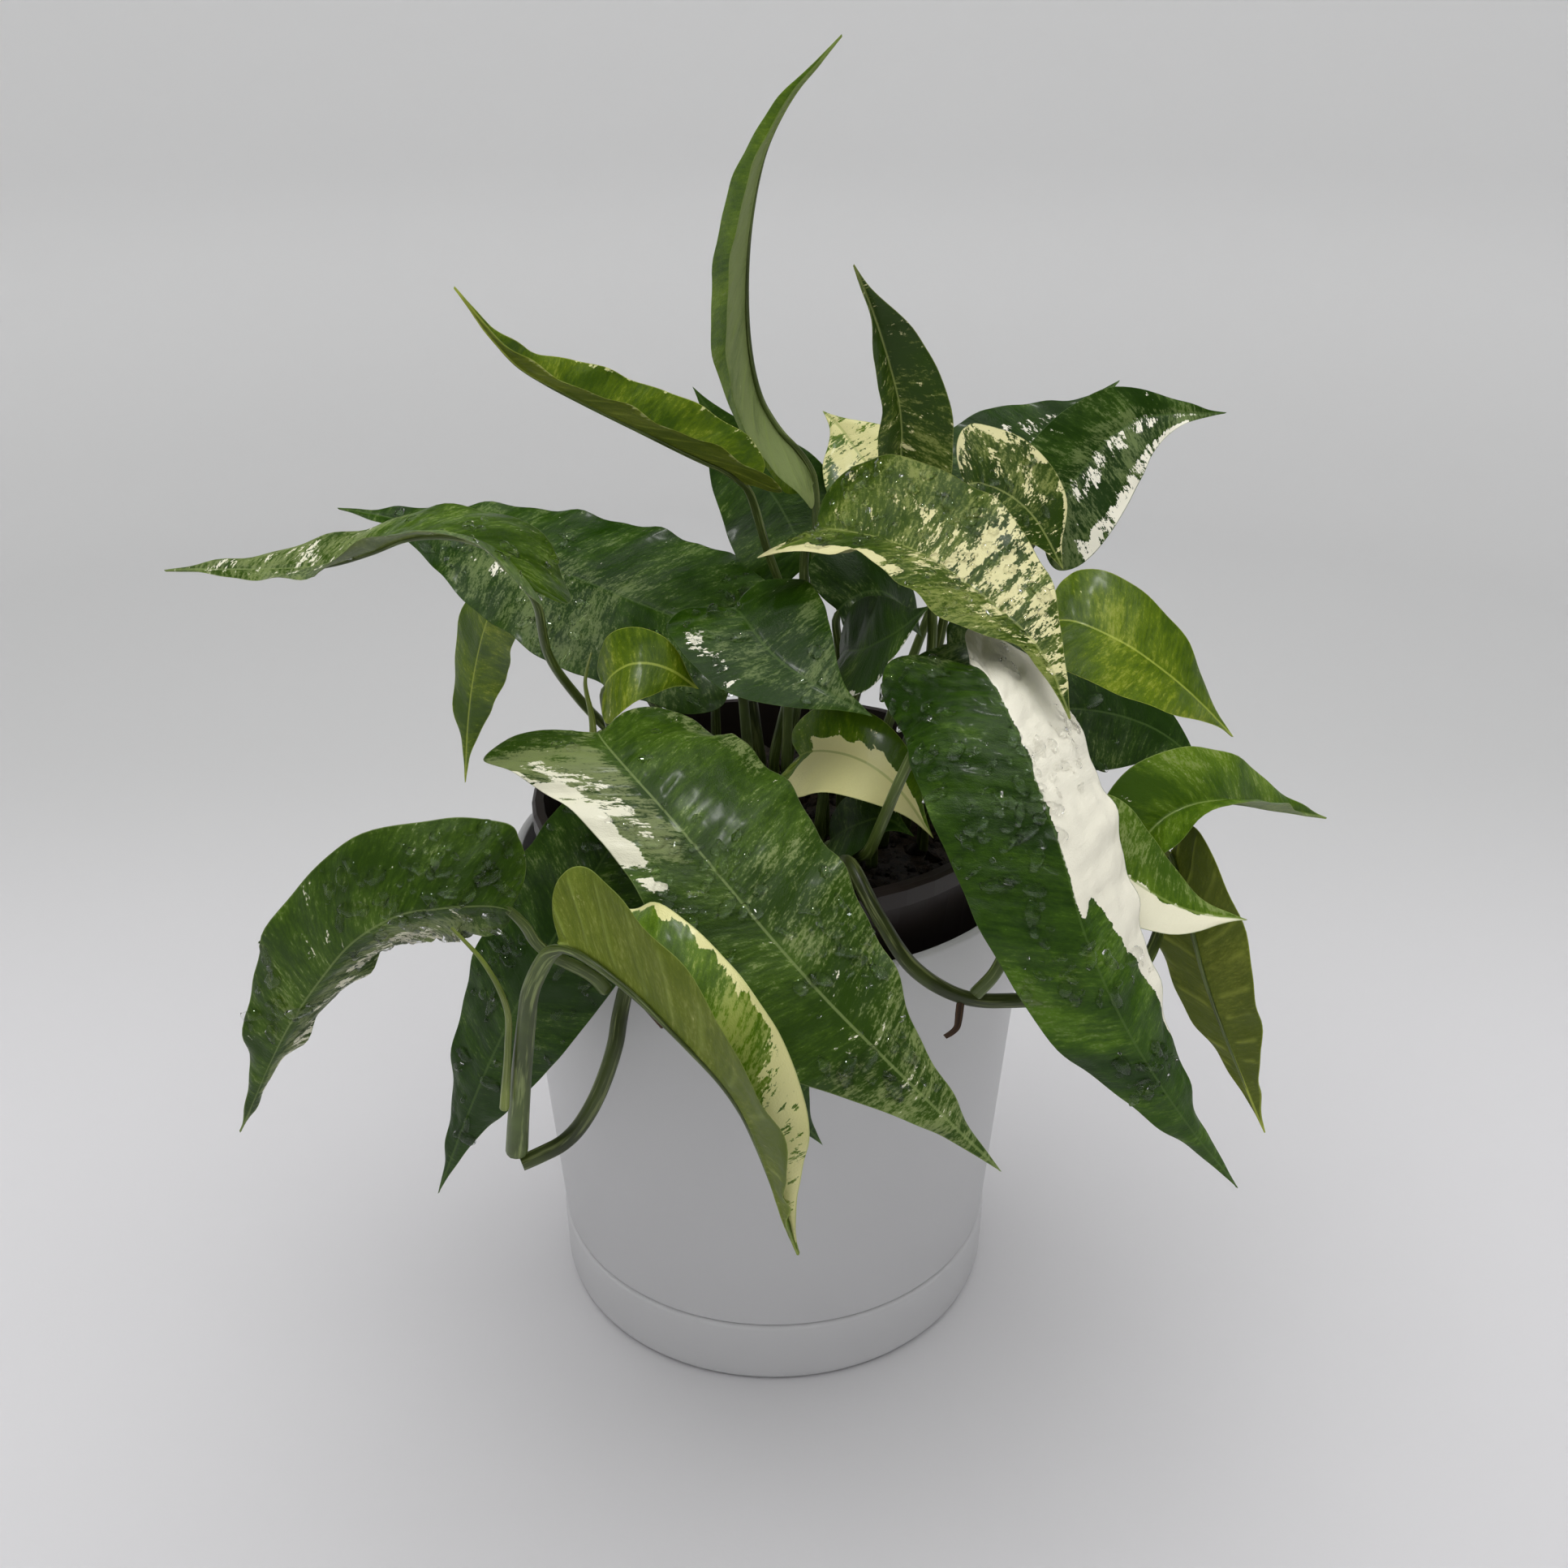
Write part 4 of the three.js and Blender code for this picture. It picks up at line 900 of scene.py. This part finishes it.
def crumbs_tree(material):
    """Strews irregular crumbs over a flat bed of soil, most of them small."""
    tree = new_tree("soil_crumbs", (
        ("Count per square metre", "NodeSocketFloat", 90000.0), ("Largest", "NodeSocketFloat", 0.0026),
        ("Seed", "NodeSocketInt", 1)))
    given = add(tree, "NodeGroupInput").node.outputs
    points = add(tree, "GeometryNodeDistributePointsOnFaces", {
        "Mesh": given["Geometry"], "Density": given["Count per square metre"],
        "Seed": given["Seed"]}, distribute_method="RANDOM")
    crumb = add(tree, "GeometryNodeMeshIcoSphere", {"Radius": 1.0, "Subdivisions": 2})
    place = add(tree, "GeometryNodeInputPosition")
    rough = add(tree, NOISE, {"Vector": place, "Scale": 1.1})
    reach = add(tree, MATHS, (rough, 1.3, 0.5), operation="MULTIPLY_ADD")
    uneven = add(tree, VECTOR_MATHS, {0: place, "Scale": reach}, operation="SCALE")
    shaped = add(tree, "GeometryNodeSetPosition", {"Geometry": crumb, "Position": uneven})
    chance = add(tree, RANDOM, {2: 0.0, 3: 1.0, 8: 4}, out=1)
    big = add(tree, MATHS, (chance, 2.5), operation="POWER")
    radius = add(tree, RANGE, {"Value": big, "To Min": 0.6 * MM, "To Max": given["Largest"]})
    drawn = add(tree, RANDOM, {0: (0.7, 0.7, 0.5), 1: (1.5, 1.2, 1.0), 8: 7}, **VECTORS)
    size = add(tree, VECTOR_MATHS, {0: drawn, "Scale": radius}, operation="SCALE")
    turned = add(tree, RANDOM, {0: (0, 0, 0), 1: (FULL_TURN, FULL_TURN, FULL_TURN), 8: 2}, **VECTORS)
    strewn = add(tree, "GeometryNodeInstanceOnPoints", {
        "Points": points, "Instance": shaped, "Rotation": turned, "Scale": size})
    plain = add(tree, "GeometryNodeRealizeInstances", {"Geometry": strewn})
    done = add(tree, "GeometryNodeSetMaterial", {"Geometry": plain, "Material": material})
    add(tree, "NodeGroupOutput", {"Geometry": done})
    return tree


def grow(piece, tree, values):
    """Runs a node tree on a piece with the given inputs, and leaves its result as a plain mesh."""
    modifier = piece.modifiers.new(tree.name, "NODES")
    modifier.node_group = tree
    for item in tree.interface.items_tree:
        if item.name in values:
            modifier[item.identifier] = values[item.name]
    apply_modifiers(piece)


# ---- operators ----
class PLANT_OT_pots(bpy.types.Operator):
    """Cover pot, base tray and nursery pot."""

    bl_idname = "plant.pots"
    bl_label = "Pots"

    def execute(self, context):
        settings = context.scene.pot_settings
        white = plastic_material(
            "matt_white_polypropylene", hex_of(settings.plastic), "#cbcbcc", 0.35, 0.46, 0.05)
        brown = plastic_material(
            "brown_recycled_polypropylene", hex_of(settings.nursery), "#241b18", 0.6, 0.42, 0.12)
        make_turned("cover_pot", 0.8 * MM, white)
        make_turned("base_tray", 0.7 * MM, white)
        inner = frame["nodes"]["nursery_pot"].data
        inner.materials.clear()
        inner.materials.append(brown)
        return {"FINISHED"}


class PLANT_OT_soil(bpy.types.Operator):
    """Potting soil with loose crumbs on top."""

    bl_idname = "plant.soil"
    bl_label = "Soil"

    def execute(self, context):
        settings = context.scene.soil_settings
        earth = soil_material()
        outline = section_of("soil")
        plug = lathe("soil_plug", outline, 96)
        plug.data.materials.append(earth)
        top = outline[-1][1]
        reach = outline[-2][0] + 1.5 * MM
        rows = [(r, top - 0.4 * MM) for r in np.linspace(0, reach, 12)]
        bed = disc("soil_crumbs", rows, 64)
        area = math.pi * reach**2
        grow(bed, crumbs_tree(earth), {
            "Count per square metre": settings.crumbs / area, "Largest": settings.crumb,
            "Seed": settings.seed})
        finish_piece(plug, slot_of("soil"), "soil")
        finish_piece(bed, slot_of("soil"))
        return {"FINISHED"}


def disc(name, rows, segments):
    """An open surface turned round the Z axis from rows of (radius, height), starting on the axis."""
    turns = np.arange(segments) / segments * 2 * math.pi
    vertices = [(0, 0, rows[0][1])]
    vertices += [(r * math.cos(t), r * math.sin(t), z) for r, z in rows[1:] for t in turns]
    faces = [(0, 1 + k, 1 + (k + 1) % segments) for k in range(segments)]
    return new_object(name, vertices, faces + band_faces(len(rows) - 1, segments, 1))


class PLANT_OT_leaves(bpy.types.Operator):
    """Every leaf with its stalk."""

    bl_idname = "plant.leaves"
    bl_label = "Leaves"

    def execute(self, context):
        for seed, (node, look) in enumerate(LEAVES.items(), start=1):
            leaf = make_leaf(node, look, context.scene.leaf_settings, seed)
            finish_piece(leaf, slot_of(node), node)
        return {"FINISHED"}


# The finish of each stem.
STEMS = {
    "vine_left": "vine", "vine_right": "vine", "stem_left": "vine", "stem_centre": "vine",
    "stem_right": "vine", "new_shoot_left": "shoot", "leaf_sheath": "shoot",
    "aerial_root_left": "root", "aerial_root_right": "root",
}


class PLANT_OT_stems(bpy.types.Operator):
    """Trailing shoots, short stems, the rolled new leaf, a sheath and the aerial roots."""

    bl_idname = "plant.stems"
    bl_label = "Stems"

    def execute(self, context):
        finishes = {
            "vine": stem_material("olive_vine", "#252e08", "#3d4a16", "#7a8450", 0.38),
            "shoot": stem_material("tender_shoot", "#5a6a1c", "#7b8a34", "#a3ab6c", 0.40),
            "root": stem_material("dry_aerial_root", "#2e1d10", "#55391f", "#7a5a38", 0.80),
        }
        for seed, (node, kind) in enumerate(STEMS.items(), start=1):
            self.make(node, kind, finishes[kind], np.random.default_rng(seed))
        return {"FINISHED"}

    def make(self, node, kind, material, rng):
        foot, rings, tip = read_sweep(node, stem_starts_here)
        if kind == "root":
            foot = foot - 3 * MM * unit(rings[1].mean(0) - foot)
        half = rings.shape[1] // 2
        centres = np.concatenate([foot[None], (rings[:, 0] + rings[:, half]) / 2, tip[None]])
        radii = np.linalg.norm(rings[:, 0] - rings[:, half], axis=1) / 2
        radii = np.concatenate([radii[:1], radii, radii[-1:]])
        sides = unit(rings[:, 0] - rings[:, half])
        sides = np.concatenate([sides[:1], sides, sides[-1:]])
        where = np.linspace(0, len(centres) - 1, 4 * len(centres))
        line, sides, ups, radius = smooth_run(centres, sides, radii, where)
        radius *= 1 + 0.05 * lumps(rng, where / 2.5, where * 0)
        radius[0] *= 0.85
        radius[-1] *= 0.6
        around = 18
        ridges = {"vine": 0.035, "shoot": 0.02, "root": 0.10}[kind]
        vertices, faces = tube(line, sides, ups, radius, around, ridges=ridges)
        piece = new_object(node + "_grown", vertices, faces)
        write_map(piece.data, tube_map(line, around))
        piece.data.materials.append(material)
        finish_piece(piece, slot_of(node), node)


DROP_SPACING = 2.7 * MM  # least distance between the middles of two drops
DROPS_PER_SQUARE_METRE = 130000.0  # at most, on the wettest leaf


class PLANT_OT_water(bpy.types.Operator):
    """Drops of water on the leaves that were misted."""

    bl_idname = "plant.water"
    bl_label = "Water drops"

    def execute(self, context):
        settings = context.scene.water_settings
        tree = drops_tree()
        for seed, (node, look) in enumerate(LEAVES.items(), start=settings.seed):
            if look.wet == 0:
                continue
            leaf = bpy.data.objects[node + "_grown"]
            skin = wet_skin(leaf, "drops_on_" + node, seed)
            grow(skin, tree, {
                "Spacing": DROP_SPACING, "Density": DROPS_PER_SQUARE_METRE * look.wet,
                "Smallest": settings.smallest, "Largest": settings.largest, "Seed": seed})
            finish_piece(skin, slot_of(node))
        return {"FINISHED"}


def wet_skin(leaf, name, seed):
    """A copy of a leaf's upper side alone, with how wet it is at each point."""
    bm = bmesh.new()
    bm.from_mesh(leaf.data)
    bmesh.ops.delete(bm, geom=[f for f in bm.faces if f.material_index != 0], context="FACES")
    mesh = bpy.data.meshes.new(name)
    bm.to_mesh(mesh)
    bm.free()
    edge = np.zeros(len(mesh.vertices))
    mesh.attributes["edge_mm"].data.foreach_get("value", edge)
    places = np.zeros(len(mesh.vertices) * 3)
    mesh.vertices.foreach_get("co", places)
    places = places.reshape(-1, 3) / MM
    rng = np.random.default_rng(seed)
    patchy = lumps(rng, places[:, 0] / 13 + 30, places[:, 2] / 13 + 30)
    write_attribute(mesh, "wet", step(0.8, 3, edge) * step(-0.5, 0.6, patchy))
    skin = bpy.data.objects.new(name, mesh)
    bpy.context.scene.collection.objects.link(skin)
    return skin


# Square area lights: place, the point each faces, side, power in watts, and whether it lights matt
# surfaces and shows in glossy ones. The two small ones only put glints on water and waxy skin.
LIGHTS = {
    "overhead_softbox": ((0.0, -0.05, 1.5), (0, 0, 0.15), 2.1, 27.0, True, False),
    "front_fill": ((-0.25, -1.0, 1.25), (0, 0, 0.2), 0.9, 0.5, True, False),
    "glint_left": ((-0.30, -0.05, 1.25), (0, 0, 0.2), 0.08, 2.2, False, True),
    "glint_right": ((0.28, 0.30, 1.3), (0, 0, 0.2), 0.08, 2.2, False, True),
}
CAMERA_PLACE = (0.0034, -0.4457, 0.3872)
CAMERA_DIP = 25.27  # degrees that it looks down


class PLANT_OT_stage(bpy.types.Operator):
    """Floor with a wall that curves up all round, soft light from above, and the camera."""

    bl_idname = "plant.stage"
    bl_label = "Stage"

    def execute(self, context):
        settings = context.scene.stage_settings
        curve, wall_top = 0.28, 0.55
        rise = [(settings.radius + curve * math.sin(a), curve * (1 - math.cos(a)))
                for a in np.linspace(0, math.pi / 2, 14)]
        flat = [(r, 0.0) for r in np.linspace(0, settings.radius, 6)[:-1]]
        floor = disc("stage_floor", flat + rise + [(settings.radius + curve, wall_top)], 96)
        floor.data.materials.append(self.paper(settings))
        for name, light in LIGHTS.items():
            self.light(name, *light)
        self.world()
        self.camera(context, settings)
        return {"FINISHED"}

    def paper(self, settings):
        """Seamless background paper: matt and pale, with a faint fibre, and darker where it starts to rise:
        painted shade greys the floor behind the pot.
        """
        material, tree = new_material("seamless_paper")
        place = add(tree, "ShaderNodeTexCoord", out="Object")
        split = add(tree, "ShaderNodeSeparateXYZ", (place,)).node.outputs
        near, wall = linear(hex_of(settings.floor)), linear(hex_of(settings.wall))
        # painted shade: the floor goes from its own colour near the pot to grey #cacaca behind it, standing
        # in for the shade where the paper turns up
        tone = layer(tree, near, split["Y"], 0.02, 0.45, 1.0, linear("#cacaca"))
        tone = layer(tree, tone, split["Z"], 0.0, 0.25, 1.0, wall)
        fibre = add(tree, NOISE, {"Vector": place, "Scale": 900.0, "Detail": 2.0, "Roughness": 0.55})
        bump = add(tree, "ShaderNodeBump", {"Height": fibre, "Strength": 0.1, "Distance": 0.2 * MM})
        finish_material(tree, {"Base Color": tone, "Roughness": 0.9, "Normal": bump})
        return material

    def light(self, name, place, aim, size, power, diffuse, glossy):
        lamp = bpy.data.lights.new(name, "AREA")
        lamp.shape = "SQUARE"
        lamp.size = size
        lamp.energy = power
        holder = bpy.data.objects.new(name, lamp)
        bpy.context.scene.collection.objects.link(holder)
        holder.location = place
        away = holder.location - type(holder.location)(aim)
        holder.rotation_euler = away.to_track_quat("Z", "Y").to_euler()
        holder.visible_camera = False
        holder.visible_diffuse = diffuse
        holder.visible_glossy = glossy

    def world(self):
        world = bpy.data.worlds.new("studio")
        bpy.context.scene.world = world
        world.use_nodes = True
        ground = world.node_tree.nodes["Background"]
        ground.inputs["Color"].default_value = linear("#e9eaec")
        ground.inputs["Strength"].default_value = 0.2
        world.cycles_visibility.glossy = False

    def camera(self, context, settings):
        lens = bpy.data.cameras.new("camera")
        lens.sensor_width = 36.0
        lens.lens = settings.lens
        holder = bpy.data.objects.new("camera", lens)
        context.scene.collection.objects.link(holder)
        holder.location = CAMERA_PLACE
        holder.rotation_euler = (math.radians(90 - CAMERA_DIP), 0, 0)
        context.scene.camera = holder
        context.scene.view_settings.view_transform = "Standard"


STEPS = (PLANT_OT_pots, PLANT_OT_soil, PLANT_OT_leaves, PLANT_OT_stems, PLANT_OT_water, PLANT_OT_stage)
SETTINGS = {
    "leaf_settings": LeafSettings, "pot_settings": PotSettings, "water_settings": WaterSettings,
    "soil_settings": SoilSettings, "stage_settings": StageSettings,
}


class PLANT_PT_panel(bpy.types.Panel):
    """Lists the settings and the steps that build the plant."""

    bl_label = "Potted pothos"
    bl_idname = "PLANT_PT_panel"
    bl_space_type = "VIEW_3D"
    bl_region_type = "UI"
    bl_category = "Pothos"

    def draw(self, context):
        for name, group in SETTINGS.items():
            box = self.layout.box()
            box.label(text=name.replace("_", " ").capitalize())
            for prop in group.__annotations__:
                box.prop(getattr(context.scene, name), prop)
        for step_class in STEPS:
            self.layout.operator(step_class.bl_idname)


def register():
    for group in (*SETTINGS.values(), *STEPS, PLANT_PT_panel):
        bpy.utils.register_class(group)
    for name, group in SETTINGS.items():
        setattr(bpy.types.Scene, name, bpy.props.PointerProperty(type=group))


def unregister():
    for name in SETTINGS:
        delattr(bpy.types.Scene, name)
    for group in (PLANT_PT_panel, *reversed(STEPS), *SETTINGS.values()):
        bpy.utils.unregister_class(group)


def main():
    register()
    bpy.ops.plant.pots()
    bpy.ops.plant.soil()
    bpy.ops.plant.leaves()
    bpy.ops.plant.stems()
    bpy.ops.plant.water()
    bpy.ops.plant.stage()


if __name__ == "__main__":
    main()
